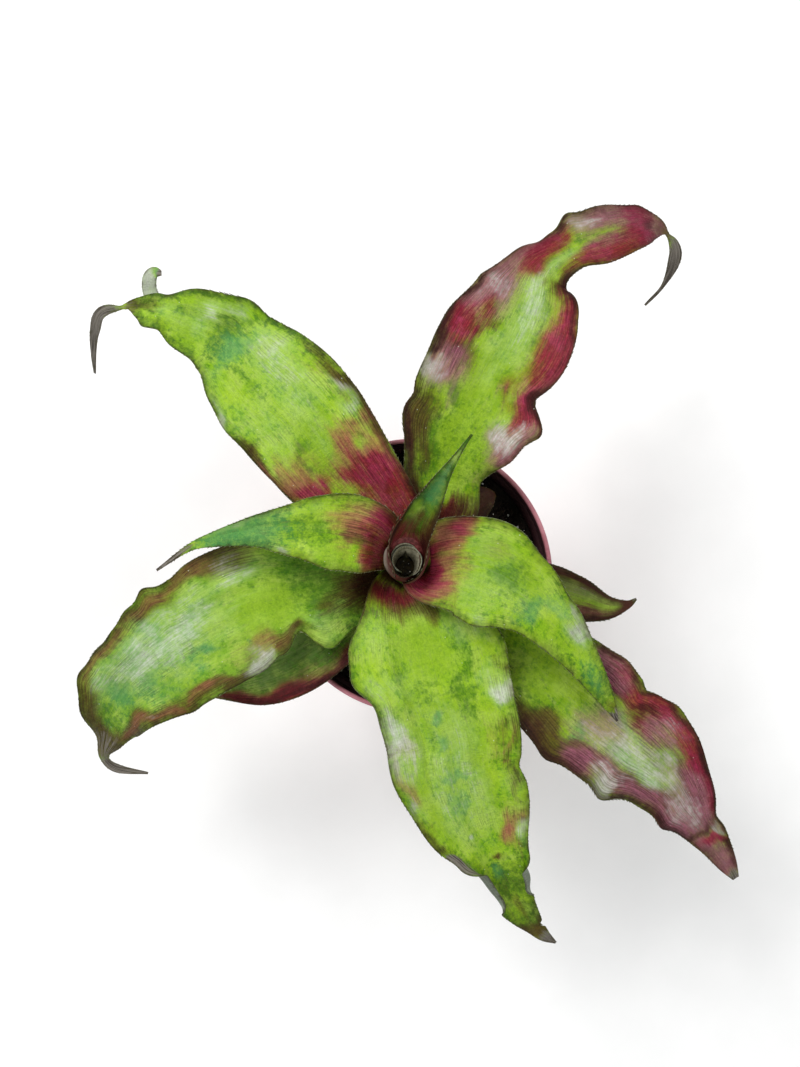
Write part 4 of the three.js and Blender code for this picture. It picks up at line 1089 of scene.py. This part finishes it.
def leaf_material(name, light, middle, blush=(186, 104, 92)):
    """Blade of a leaf: two mottled greens under the tints that the leaf's fields carry.

    blush is the screen colour of the leaf's pale parts that are not green.
    """
    g = Graph(name)
    across, run, vein = g.split("grain")
    edge, under, broad = g.split("place")
    red, pink, wine = g.split("warm_tints")
    scurf_and_sheen, dark, teal = g.split("cool_tints")
    brown, yellow, dry = g.split("dull_tints")

    # Noise in blotches, in streaks along the ribs and in bands across them
    cloud = g.cloud(across * 0.15, run * 0.09, 0, 4, 0.6, 0.32, 0.68)
    other = g.cloud(across * 0.12, run * 0.11, 13, 3, 0.6, 0.34, 0.66)
    fleck = g.cloud(across * 0.5, run * 0.36, 5, 4, 0.56, 0.3, 0.7)
    streak = g.cloud(vein * 0.8, run * 0.06, 9, 4, 0.62, 0.32, 0.68)
    hair = g.cloud(vein * 2.4, run * 0.14, 4, 3, 0.6, 0.3, 0.7)
    band = g.cloud(across * 0.22, run * 1.7, 3, 2, 0.6, 0.3, 0.7)
    fine = g.cloud(across * 1.7, run * 1.4, 1, 3, 0.7, 0.3, 0.7)
    crisp = g.cloud(across * 0.7, run * 0.5, 8, 5, 0.68, 0.42, 0.62)
    drift = g.noise(g.join(vein * 0.7, run * 0.018, 21), 1, 2, 0.5)
    ribs = g.math("SINE", vein * (2 * math.pi / RIB_PITCH) + 14 * drift)
    ribs = g.rise(ribs + 1.2 * hair, 0.3, 2)
    ribbed = 0.7 * other + 0.6 * brown + 0.1 * scurf_and_sheen + 0.1 * red + 0.2 * fleck - 0.8 * yellow
    ribbed = g.rise(ribbed, 0.3, 1.1)
    ragged = 0.35 * streak + 0.25 * fleck + 0.25 * hair + 0.15 * fine
    frost = 0.25 * hair + 0.25 * streak + 0.3 * fleck + 0.2 * fine

    def patch(strength, low, high, grain=ragged, weight=0.5):
        return g.rise(strength + weight * (grain - 0.5), low, high)

    # The greens, with frost and scales, paled by scurf patches that are partly painted sheen
    green = g.mix(cloud, light, middle)
    frosted = g.rise(other + 0.4 * fine + 0.3 * hair - 0.4 * cloud, 0.3, 1.3)
    green = g.mix(0.65 * frosted, green, (182, 210, 92))
    green = g.mix(0.8 * patch(yellow, 0, 1, fleck, 0.2), green, (140, 178, 34))
    flecked = patch(0.7 * cloud + 0.3 * fleck - 0.4 * yellow, 0.5, 1.1, crisp, 0.6)
    green = g.mix(0.75 * flecked, green, (92, 148, 6))
    mottle = 0.4 * fleck + 0.4 * crisp + 0.2 * fine
    # The dark patches are the leaf's dark mottling and, where leaves overlap or the blade creases,
    # painted shade
    green = g.mix(0.8 * patch(dark, 0.06, 1.1, mottle, 0.8), green, (66, 120, 4))
    green = g.mix(0.82 * patch(teal, 0.06, 1.05, mottle, 0.6), green, (76, 146, 86))
    green = g.mix(0.6 * patch(scurf_and_sheen, 0, 0.9, frost, 0.6), green, (168, 202, 124))

    # The tints that aren't green, then the ribs and the grain of the upper face
    skin = g.mix(0.88 * patch(brown, 0.06, 1), green, (88, 58, 24))
    warm = g.mix(hair, blush, tuple(0.74 * value for value in blush))
    skin = g.mix(0.94 * patch(pink, 0.02, 1.05, ragged, 0.47), skin, warm)
    crimson = g.mix(hair, (158, 10, 58), (104, 8, 34))
    crimson = g.mix(0.5 * g.rise(other + 0.5 * fleck, 0.5, 1.4), crimson, (190, 60, 106))
    skin = g.mix(0.95 * patch(red, 0.04, 1.05, ragged, 0.5), skin, crimson)
    skin = g.mix(0.96 * patch(wine, 0.06, 1, ragged, 0.4), skin, (66, 20, 16))
    # Near white where the scurf patches are strongest: pale scurf together with a painted highlight on
    # the crests of the waves
    skin = g.mix(0.85 * patch(scurf_and_sheen, 0.5, 1.15, frost, 0.65), skin, (224, 224, 222))
    skin = g.mix(0.5 * ribs * ribbed * broad, skin, (112, 96, 70), "MULTIPLY")
    skin = g.mix(0.5 * fine, skin, (190, 198, 160), "MULTIPLY")
    skin = g.mix(0.25 * crisp * broad, skin, (176, 196, 120), "MULTIPLY")

    # Edges, dry parts, pale specks of dust with painted glints of droplets, the underside and the teeth
    # Darker toward the margins: partly the margin's own olive tone, partly painted shade where the margin
    # turns down
    limb = broad * (0.6 - 0.6 * g.rise(edge - 1.5 * fleck, -1, 3.2))
    skin = g.mix(limb, skin, (124, 124, 50), "MULTIPLY")
    husk = g.mix(g.rise(streak, 0.2, 0.8), (58, 52, 46), (128, 122, 112))
    skin = g.mix(patch(dry, 0.3, 0.7), skin, husk)
    # Pale specks: mineral dust, with painted glints of water droplets among them
    spot = 1 - g.rise(g.cells(g.join(across, run, 2), 0.25), 0.03, 0.055)
    skin = g.mix(0.5 * spot, skin, (214, 220, 200))
    below = g.mix(band, (150, 164, 138), (196, 204, 186))
    below = g.mix(0.3 * red, below, (150, 84, 86))
    below = g.mix(0.96 * wine, below, (84, 34, 34))
    below = g.mix(0.7 * dark, below, (64, 80, 62))
    below = g.mix(dry, below, husk)
    skin = g.mix(under, skin, below)
    skin = g.mix(0.6 - 0.6 * g.rise(edge - 0.9 * fleck, -0.6, 0.3), skin, (56, 50, 18))
    skin = g.mix(0.6 - 0.6 * g.rise(edge, -0.9, -0.2), skin, (176, 182, 146))

    height = 0.06 * fine + 0.03 * crisp - 0.08 * ribs * (0.3 + ribbed) * broad + 0.05 * band
    shine = 0.4 + 0.12 * fleck + 0.1 * scurf_and_sheen
    return g.finish(skin, shine, height, Specular_IOR_Level=0.15)


def pot_material():
    """Dusky rose plastic, a little marbled, scuffed and dusted with soil, and painted dark inside as
    shade.
    """
    g = Graph("rose_plastic")
    place = g.place()
    depth = g.put("Attribute", {}, output="Fac", attribute_name="depth")
    cloud = g.noise(place, 0.09, 4, 0.6)
    grime = g.noise(place, 0.35, 5, 0.7)
    grit = g.noise(place, 2.2, 3, 0.7)
    scuff = g.noise(g.stretch(place, 1, 1, 0.12), 1.1, 3, 0.6)
    base = g.mix(g.rise(cloud, 0.35, 0.65), (160, 92, 102), (190, 122, 132))
    base = g.mix(0.5 * g.rise(scuff, 0.58, 0.75), base, (214, 164, 170))
    base = g.mix(0.6 * g.rise(grime, 0.56, 0.74), base, (96, 58, 58))
    base = g.mix(0.8 * g.rise(grit, 0.7, 0.78), base, (40, 30, 26))
    # Painted shade: the inside goes near black a little below the rim
    base = g.mix(0.94 * g.rise(depth + 1.5 * grime, 0.8, 2.4), base, (30, 10, 13))
    height = 0.05 * grit + 0.08 * cloud
    return g.finish(base, 0.36 + 0.25 * grime, height)


def soil_material(name, dark, light, grain):
    """Crumbly potting mix. grain is the size of its lumps in millimetres."""
    g = Graph(name)
    place = g.place()
    clods = g.noise(place, 1 / grain, 5, 0.7)
    fibre = g.noise(g.stretch(place, 1, 0.15, 0.6), 1.8, 3, 0.6)
    base = g.mix(g.rise(clods, 0.35, 0.68), dark, light)
    base = g.mix(0.4 * g.rise(fibre, 0.6, 0.72), base, (60, 44, 32))
    height = 0.5 * clods + 0.2 * fibre
    return g.finish(base, 0.92 - 0.1 * clods, height, Specular_IOR_Level=0.2)


def stem_material():
    """Brown stock with dry scale rings and pale fibres."""
    g = Graph("dry_stem")
    place = g.place()
    rings = g.noise(g.stretch(place, 0.15, 0.15, 1), 0.9, 3, 0.6)
    fibre = g.noise(g.stretch(place, 1, 1, 0.12), 1.6, 4, 0.65)
    base = g.mix(g.rise(fibre, 0.35, 0.7), (74, 50, 34), (150, 122, 86))
    base = g.mix(0.6 * g.rise(rings, 0.55, 0.7), base, (48, 30, 24))
    return g.finish(base, 0.8 - 0.1 * rings, 0.25 * fibre + 0.3 * rings)


def bud_material():
    """Young rolled leaf: dark green with paler lines along it."""
    g = Graph("bud_skin")
    place = g.place()
    line = g.noise(g.stretch(place, 1, 1, 0.1), 1.4, 3, 0.6)
    dust = g.noise(place, 2.5, 3, 0.7)
    base = g.mix(g.rise(line, 0.4, 0.65), (30, 28, 16), (72, 70, 42))
    base = g.mix(0.5 * g.rise(dust, 0.6, 0.75), base, (110, 108, 84))
    return g.finish(base, 0.45 + 0.1 * dust, 0.1 * line + 0.05 * dust)


def funnel_material():
    """Pale inner skin of the heart leaf, darker toward the water."""
    g = Graph("funnel_skin")
    place = g.place()
    height = g.put("SeparateXYZ", {0: place}, output="Z")
    line = g.noise(g.stretch(place, 1, 1, 0.12), 1.3, 3, 0.6)
    dust = g.noise(place, 1.6, 3, 0.7)
    base = g.mix(g.rise(line, 0.38, 0.62), (160, 156, 130), (196, 190, 164))
    base = g.mix(0.4 * g.rise(dust, 0.56, 0.7), base, (124, 112, 90))
    deep = 1 - g.rise(height - 4 * dust, POOL[2] - 2.5, POOL[2] + 1.2)
    base = g.mix(0.7 * deep, base, (76, 68, 46))
    return g.finish(base, 0.4 + 0.15 * dust, 0.06 * line + 0.04 * dust)


def lining_material():
    """Glossy pinkish maroon inner skin at the foot of the young leaf, darker toward the lower right."""
    g = Graph("lining_skin")
    place = g.place()
    east = g.put("SeparateXYZ", {0: place}, output="X") - AXIS[0]
    north = g.put("SeparateXYZ", {0: place}, output="Y") - AXIS[1]
    line = g.noise(g.stretch(place, 1, 1, 0.3), 0.9, 4, 0.6)
    dust = g.noise(place, 2.4, 3, 0.7)
    base = g.mix(g.rise(line, 0.35, 0.65), (100, 42, 40), (152, 78, 74))
    lower = 0.6 * east - 0.8 * north + 1.5 * line
    base = g.mix(0.85 * g.rise(lower, 1.4, 4), base, (54, 20, 16))
    base = g.mix(0.4 * g.rise(dust, 0.62, 0.72), base, (170, 130, 120))
    return g.finish(base, 0.45 + 0.2 * dust, 0.12 * line + 0.05 * dust, Specular_IOR_Level=0.2)


def water_material():
    """Dark standing water with a film of dust and a few painted glints."""
    g = Graph("standing_water")
    place = g.place()
    film = g.noise(place, 0.8, 4, 0.65)
    base = g.mix(g.rise(film, 0.35, 0.65), (26, 20, 8), (66, 56, 30))
    # Small pale spots: painted glints on the water
    painted_glint = 1 - g.rise(g.cells(place, 0.62), 0.1, 0.2)
    base = g.mix(0.9 * painted_glint, base, (240, 240, 226))
    return g.finish(base, 0.25 + 0.3 * film, 0.1 * film, Specular_IOR_Level=0.12)


def perlite_material():
    """White expanded mineral grains."""
    g = Graph("perlite")
    place = g.place()
    pores = g.noise(place, 2.2, 4, 0.7)
    base = g.mix(g.rise(pores, 0.35, 0.7), (226, 224, 216), (252, 251, 246))
    return g.finish(base, 0.75 + 0.1 * pores, 0.3 * pores)


def floor_material():
    """Plain pale surface with a faint grain."""
    g = Graph("pale_floor")
    place = g.place()
    grain = g.noise(place, 0.05, 3, 0.5)
    base = g.mix(g.rise(grain, 0.3, 0.7), (250, 250, 249), (253, 253, 252))
    return g.finish(base, 0.7 + 0.1 * grain, 0.02 * grain)


# Pot, soil and small pieces

def pot_inside(height):
    """Inner radius of the pot's tapered wall at a height below the collar."""
    top = RIM_RADIUS - WALL - COLLAR_STEP
    share = height / (POT_HEIGHT - COLLAR_HEIGHT)
    return BASE_RADIUS - WALL + (top - BASE_RADIUS + WALL) * share


def pot_profile():
    """Outline of half the pot from the middle of its underside round to the middle of its floor."""
    ledge = POT_HEIGHT - COLLAR_HEIGHT
    lip = RIM_RADIUS - WALL / 2
    arc = np.linspace(0, math.pi, 9)
    rounded = [(lip + WALL / 2 * math.cos(a), POT_HEIGHT - WALL / 2 * (1 - math.sin(a))) for a in arc]
    return [
        (0, 0), (BASE_RADIUS - 1.2, 0), (BASE_RADIUS - 0.4, 0.3), (BASE_RADIUS, 1),
        (RIM_RADIUS - COLLAR_STEP - 0.2, ledge - 0.8), (RIM_RADIUS - COLLAR_STEP + 0.3, ledge - 0.4),
        (RIM_RADIUS - 0.7, ledge - 0.2), (RIM_RADIUS - 0.45, ledge + 0.2),
        *rounded,
        (RIM_RADIUS - WALL - 0.3, ledge + 1.2), (pot_inside(ledge) + 0.2, ledge + 0.3),
        (pot_inside(ledge), ledge - 0.4), (pot_inside(FLOOR_THICKNESS + 1), FLOOR_THICKNESS + 1),
        (pot_inside(FLOOR_THICKNESS) - 1, FLOOR_THICKNESS), (0, FLOOR_THICKNESS),
    ]


def drill_drains(pot):
    """Cut the ring of drain holes through the pot's floor."""
    tubes = []
    faces = []
    for i in range(DRAIN_HOLES):
        turn = 2 * math.pi * i / DRAIN_HOLES
        wall = [(DRAIN_RADIUS, -FLOOR_THICKNESS), (DRAIN_RADIUS, 2 * FLOOR_THICKNESS)]
        x, y = DRAIN_CIRCLE * math.cos(turn), DRAIN_CIRCLE * math.sin(turn)
        tube, sides = revolve(wall, DRAIN_SIDES, x, y)
        faces += [tuple(i * len(tube) + k for k in face) for face in sides]
        tubes.append(tube)
    cutter = make_piece("drain_cutter", np.vstack(tubes), faces, pot.data.materials[0])
    cut = pot.modifiers.new("drain", "BOOLEAN")
    cut.operation = "DIFFERENCE"
    cut.object = cutter
    ready = pot.evaluated_get(bpy.context.evaluated_depsgraph_get())
    pot.data = bpy.data.meshes.new_from_object(ready)
    pot.modifiers.clear()
    bpy.data.objects.remove(cutter)


def mark_depth(pot):
    """Vertex attribute for the inside of the pot: how deep in mm each point lies below the rim, which the
    pot's material turns into painted shade.
    """
    spots = np.zeros(3 * len(pot.data.vertices))
    pot.data.vertices.foreach_get("co", spots)
    x, y, z = spots.reshape(-1, 3).T / MM
    in_collar = np.hypot(x, y) < RIM_RADIUS - WALL / 2
    in_wall = np.hypot(x, y) < pot_inside(z) + WALL / 2
    inside = np.where(z > POT_HEIGHT - COLLAR_HEIGHT, in_collar, in_wall) & (z > FLOOR_THICKNESS / 2)
    depth = pot.data.attributes.new("depth", "FLOAT", "POINT")
    depth.data.foreach_set("value", np.where(inside, POT_HEIGHT - z, 0).astype(np.float32))


def build_pot():
    """The pot with its collar, its rounded lip and its drain holes."""
    pot = make_piece("pot_shell", *revolve(pot_profile(), POT_SIDES), pot_material())
    drill_drains(pot)
    mark_depth(pot)
    pot.data.shade_smooth()
    pot.data.set_sharp_from_angle(angle=math.radians(SHARP_ANGLE))
    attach(pot, "root")
    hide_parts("pot")


SOIL_RADIUS = pot_inside(SOIL_EDGE) - GAP


def soil_height(x, y):
    """Height of the soil's top: its crown, the part's lumps and finer ones."""
    share = 1 - np.hypot(x, y) / SOIL_RADIUS
    crown = SOIL_CROWN * np.sin(np.clip(share, 0, 1) * math.pi / 2)
    broad = np.sin(0.55 * x + 1) * np.cos(0.48 * y) + np.sin(0.31 * (x - y))
    fine = 0.6 * lumps(x / 2.6, y / 2.6, SOIL_SEED) + 0.35 * lumps(x / 1.1, y / 1.1, SOIL_SEED + 1)
    return SOIL_EDGE + crown + SOIL_LUMPS * broad + fine


def build_soil():
    """The potting mix that fills the pot, with a lumpy top."""
    floor = FLOOR_THICKNESS + GAP
    side = [
        (pot_inside(FLOOR_THICKNESS) - 1.5, floor),
        (pot_inside(6) - GAP, 6),
        (SOIL_RADIUS, SOIL_EDGE - 1),
    ]
    outer, heights = np.array(side).T
    radius = np.concatenate([outer, np.linspace(SOIL_RADIUS, 0.5, SOIL_RINGS)])[:, None]
    centres = np.zeros((len(radius), 1, 3))
    points, faces = rings(centres, radius, full_turn(SOIL_SIDES), capped=True)
    points[:, 2] = soil_height(*points[:, :2].T)
    points[:len(side) * SOIL_SIDES, 2] = np.repeat(heights, SOIL_SIDES)
    mix = soil_material("potting_mix", (10, 7, 5), (34, 25, 18), 1.4)
    soil = make_piece("soil_bed", points, faces, mix)
    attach(soil, "root")
    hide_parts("soil")


def scatter_grains(name, count, sizes, material, seed):
    """Small angular grains that lie half sunk on the soil, joined in one mesh."""
    rng = np.random.default_rng(seed)
    phi = (1 + math.sqrt(5)) / 2
    corners = np.array([
        (-1, phi, 0), (1, phi, 0), (-1, -phi, 0), (1, -phi, 0), (0, -1, phi), (0, 1, phi),
        (0, -1, -phi), (0, 1, -phi), (phi, 0, -1), (phi, 0, 1), (-phi, 0, -1), (-phi, 0, 1),
    ]) / math.hypot(1, phi)
    sides = [
        (0, 11, 5), (0, 5, 1), (0, 1, 7), (0, 7, 10), (0, 10, 11), (1, 5, 9), (5, 11, 4),
        (11, 10, 2), (10, 7, 6), (7, 1, 8), (3, 9, 4), (3, 4, 2), (3, 2, 6), (3, 6, 8),
        (3, 8, 9), (4, 9, 5), (2, 4, 11), (6, 2, 10), (8, 6, 7), (9, 8, 1),
    ]
    reach = SOIL_RADIUS - GRAIN_CLEARANCE
    points = []
    faces = []
    for _ in range(count):
        radius = reach * math.sqrt(rng.uniform(0.02, 1))
        turn = rng.uniform(0, 2 * math.pi)
        x, y = radius * math.cos(turn), radius * math.sin(turn)
        size = rng.uniform(*sizes)
        shape = corners * rng.uniform(*GRAIN_CORNERS, (len(corners), 1))
        shape = shape * rng.uniform(*GRAIN_AXES, 3) * size
        middle = np.array([x, y, float(soil_height(x, y)) + GRAIN_LIFT * size])
        faces += [tuple(len(points) * len(corners) + k for k in face) for face in sides]
        points.append(shape + middle)
    grains = make_piece(name, np.vstack(points), faces, material, flat=True)
    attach(grains, "root")


def build_bud():
    """Rolled spike of the youngest leaf: ribbed, and its tip leans out of the pool."""
    foot = STOCK_TOP + GAP
    share = np.linspace(0, 1, BUD_RINGS)[:, None]
    line = np.hstack([np.repeat(AXIS[None, :], BUD_RINGS, 0), foot + (BUD_LEAN[2] - foot) * share])
    lean = smooth(share, *LEAN_SPAN) / smooth(1, *LEAN_SPAN)
    line[:, :2] += lean * (np.array(BUD_LEAN[:2]) - AXIS)
    radius = BUD_RADIUS * np.clip(1 - smooth(share, LEAN_SPAN[0], 1), 0.04, 1)
    turns = full_turn(BUD_SIDES)
    reach = radius * (1 + BUD_RIBS * np.sin(5 * turns[None, :] + 0.4 * line[:, 2:]))
    bud = make_piece("bud_spike", *rings(line[:, None, :], reach, turns, capped=True), bud_material())
    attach(bud, "root")
    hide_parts("leaf_bud")


def build_heart():
    """Pale funnel inside the heart leaf, the water in it, and the red skin around it."""
    turns = full_turn(HEART_SIDES)
    pool, mouth = np.array(POOL), np.array(MOUTH)
    share = np.linspace(0, 1, FUNNEL_ROWS)[:, None]
    inner = pool + (mouth - pool) * share
    oval = 1 + MOUTH_OVAL * np.sin(turns) ** 2
    radius = (POOL_RADIUS + (MOUTH_RADIUS - POOL_RADIUS) * share ** FUNNEL_CURVE) * oval
    line = np.vstack([inner[::-1], inner - np.array([0, 0, FUNNEL_DROP])])[:, None, :]
    reach = np.vstack([radius[::-1], radius + FUNNEL_SKIN])
    funnel = make_piece("heart_funnel", *rings(line, reach, turns), funnel_material())
    profile = [
        (0.01, POOL[2] - 1), (POOL_RADIUS, POOL[2] - 1), (POOL_RADIUS + 0.1, POOL[2] + 0.45),
        (POOL_RADIUS - 0.3, POOL[2] + 0.12), (POOL_RADIUS - 0.8, POOL[2]), (0.01, POOL[2]),
    ]
    water = make_piece("heart_water", *revolve(profile, WATER_SIDES, *POOL[:2]), water_material())
    north = np.clip(np.sin(turns), 0, 1)
    outer = np.stack([
        AXIS[0] + 0 * turns, AXIS[1] + 0 * turns, LINING_HEIGHT + LINING_RISE * north ** 1.5,
    ], 1)
    rim = mouth - np.array([0, 0, LINING_DROP]) + 0 * outer
    share = np.linspace(0, 1, LINING_ROWS)[:, None]
    around = LINING_RADIUS + LINING_FLARE * north ** 2
    crease = LINING_CREASE * lumps(3 * turns[None, :], 4 * share, LINING_SEED)
    centres = rim + (outer - rim) * share[..., None]
    reach = (MOUTH_RADIUS * oval + 0.1) * (1 - share) + around * share
    lower_right = np.clip(np.cos(turns + math.pi / 4), 0, 1)
    nested = LINING_WAVE * np.sin(3 * math.pi * share) * lower_right
    centres[..., 2] += crease * share + nested
    skin = make_piece("young_lining", *rings(centres, reach, turns), lining_material())
    for piece in (funnel, water, skin):
        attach(piece, "root")


# Room of the picture

def build_floor():
    """Pale ground of the picture. It isn't part of the object."""
    half = FLOOR_HALF
    points = [(-half, -half, 0), (half, -half, 0), (half, half, 0), (-half, half, 0)]
    floor = make_piece("floor", points, [(0, 1, 2, 3)], floor_material())


def area_light(name, place, target, size, power):
    """Soft square lamp that looks at a point; places in millimetres, power in watts."""
    lamp = bpy.data.lights.new(name, "AREA")
    lamp.size = size * MM
    lamp.energy = power
    holder = bpy.data.objects.new(name, lamp)
    bpy.context.scene.collection.objects.link(holder)
    holder.location = [value * MM for value in place]
    away = holder.location - Vector([value * MM for value in target])
    holder.rotation_euler = away.to_track_quat("Z", "Y").to_euler()


def light_room():
    """Soft daylight from all round, and the lamps."""
    world = bpy.data.worlds.new("soft_daylight")
    world.use_nodes = True
    sky = world.node_tree.nodes["Background"]
    sky.inputs["Color"].default_value = SKY_COLOUR
    sky.inputs["Strength"].default_value = SKY_STRENGTH
    bpy.context.scene.world = world
    for name, place, size, power in LAMPS:
        area_light(name, place, LIT_POINT, size, power)
    bpy.context.scene.view_settings.view_transform = "Standard"


def place_camera():
    """Camera of the photograph, which looks straight down."""
    camera = bpy.data.cameras.new("photo_camera")
    camera.sensor_width = SENSOR
    camera.lens = SENSOR * FOCAL_PX / PHOTO_HEIGHT_PX
    camera.clip_start = 0.01
    holder = bpy.data.objects.new("photo_camera", camera)
    holder.location = [value * MM for value in CAMERA_PLACE]
    bpy.context.scene.collection.objects.link(holder)
    bpy.context.scene.camera = holder


def dress_stem(stem):
    """Give the part's own stock and roots their bark."""
    stem.data.materials.clear()
    stem.data.materials.append(stem_material())


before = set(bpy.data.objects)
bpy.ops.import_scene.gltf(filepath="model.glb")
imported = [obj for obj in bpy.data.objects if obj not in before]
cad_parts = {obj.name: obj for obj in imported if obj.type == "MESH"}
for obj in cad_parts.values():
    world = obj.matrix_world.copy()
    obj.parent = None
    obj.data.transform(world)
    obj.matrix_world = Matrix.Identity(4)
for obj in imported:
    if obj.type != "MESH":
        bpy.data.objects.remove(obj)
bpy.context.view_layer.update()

# Blade materials by slot: the two greens, and the blush where it isn't the usual one
BLADES = {
    "leaf_green": leaf_material("green_blade", (162, 198, 42), (134, 180, 20)),
    "leaf_crimson": leaf_material("crimson_blade", (150, 184, 32), (122, 162, 12), (172, 98, 124)),
    "leaf_silver": leaf_material("silver_blade", (150, 186, 54), (116, 164, 36), (160, 104, 72)),
    "leaf_dark": leaf_material("dark_blade", (84, 108, 36), (60, 84, 24), (126, 70, 66)),
    "leaf_maroon": leaf_material("maroon_blade", (66, 42, 18), (48, 24, 12)),
    "leaf_young": leaf_material("young_blade", (66, 106, 34), (42, 78, 22)),
    "leaf_heart": leaf_material("heart_blade", (160, 160, 138), (120, 116, 98), (178, 168, 146)),
}
for number, leaf in enumerate(LEAVES):
    build_leaf(leaf, number, BLADES[leaf["slot"]])
build_pot()
build_soil()
crumb = soil_material("soil_crumb", (12, 8, 6), (44, 32, 24), 0.8)
scatter_grains("soil_crumbs", CRUMBS, CRUMB_SIZES, crumb, CRUMB_SEED)
scatter_grains("perlite_grains", PERLITE, PERLITE_SIZES, perlite_material(), PERLITE_SEED)
build_bud()
build_heart()
dress_stem(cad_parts["stem_and_roots"])

build_floor()
light_room()
place_camera()
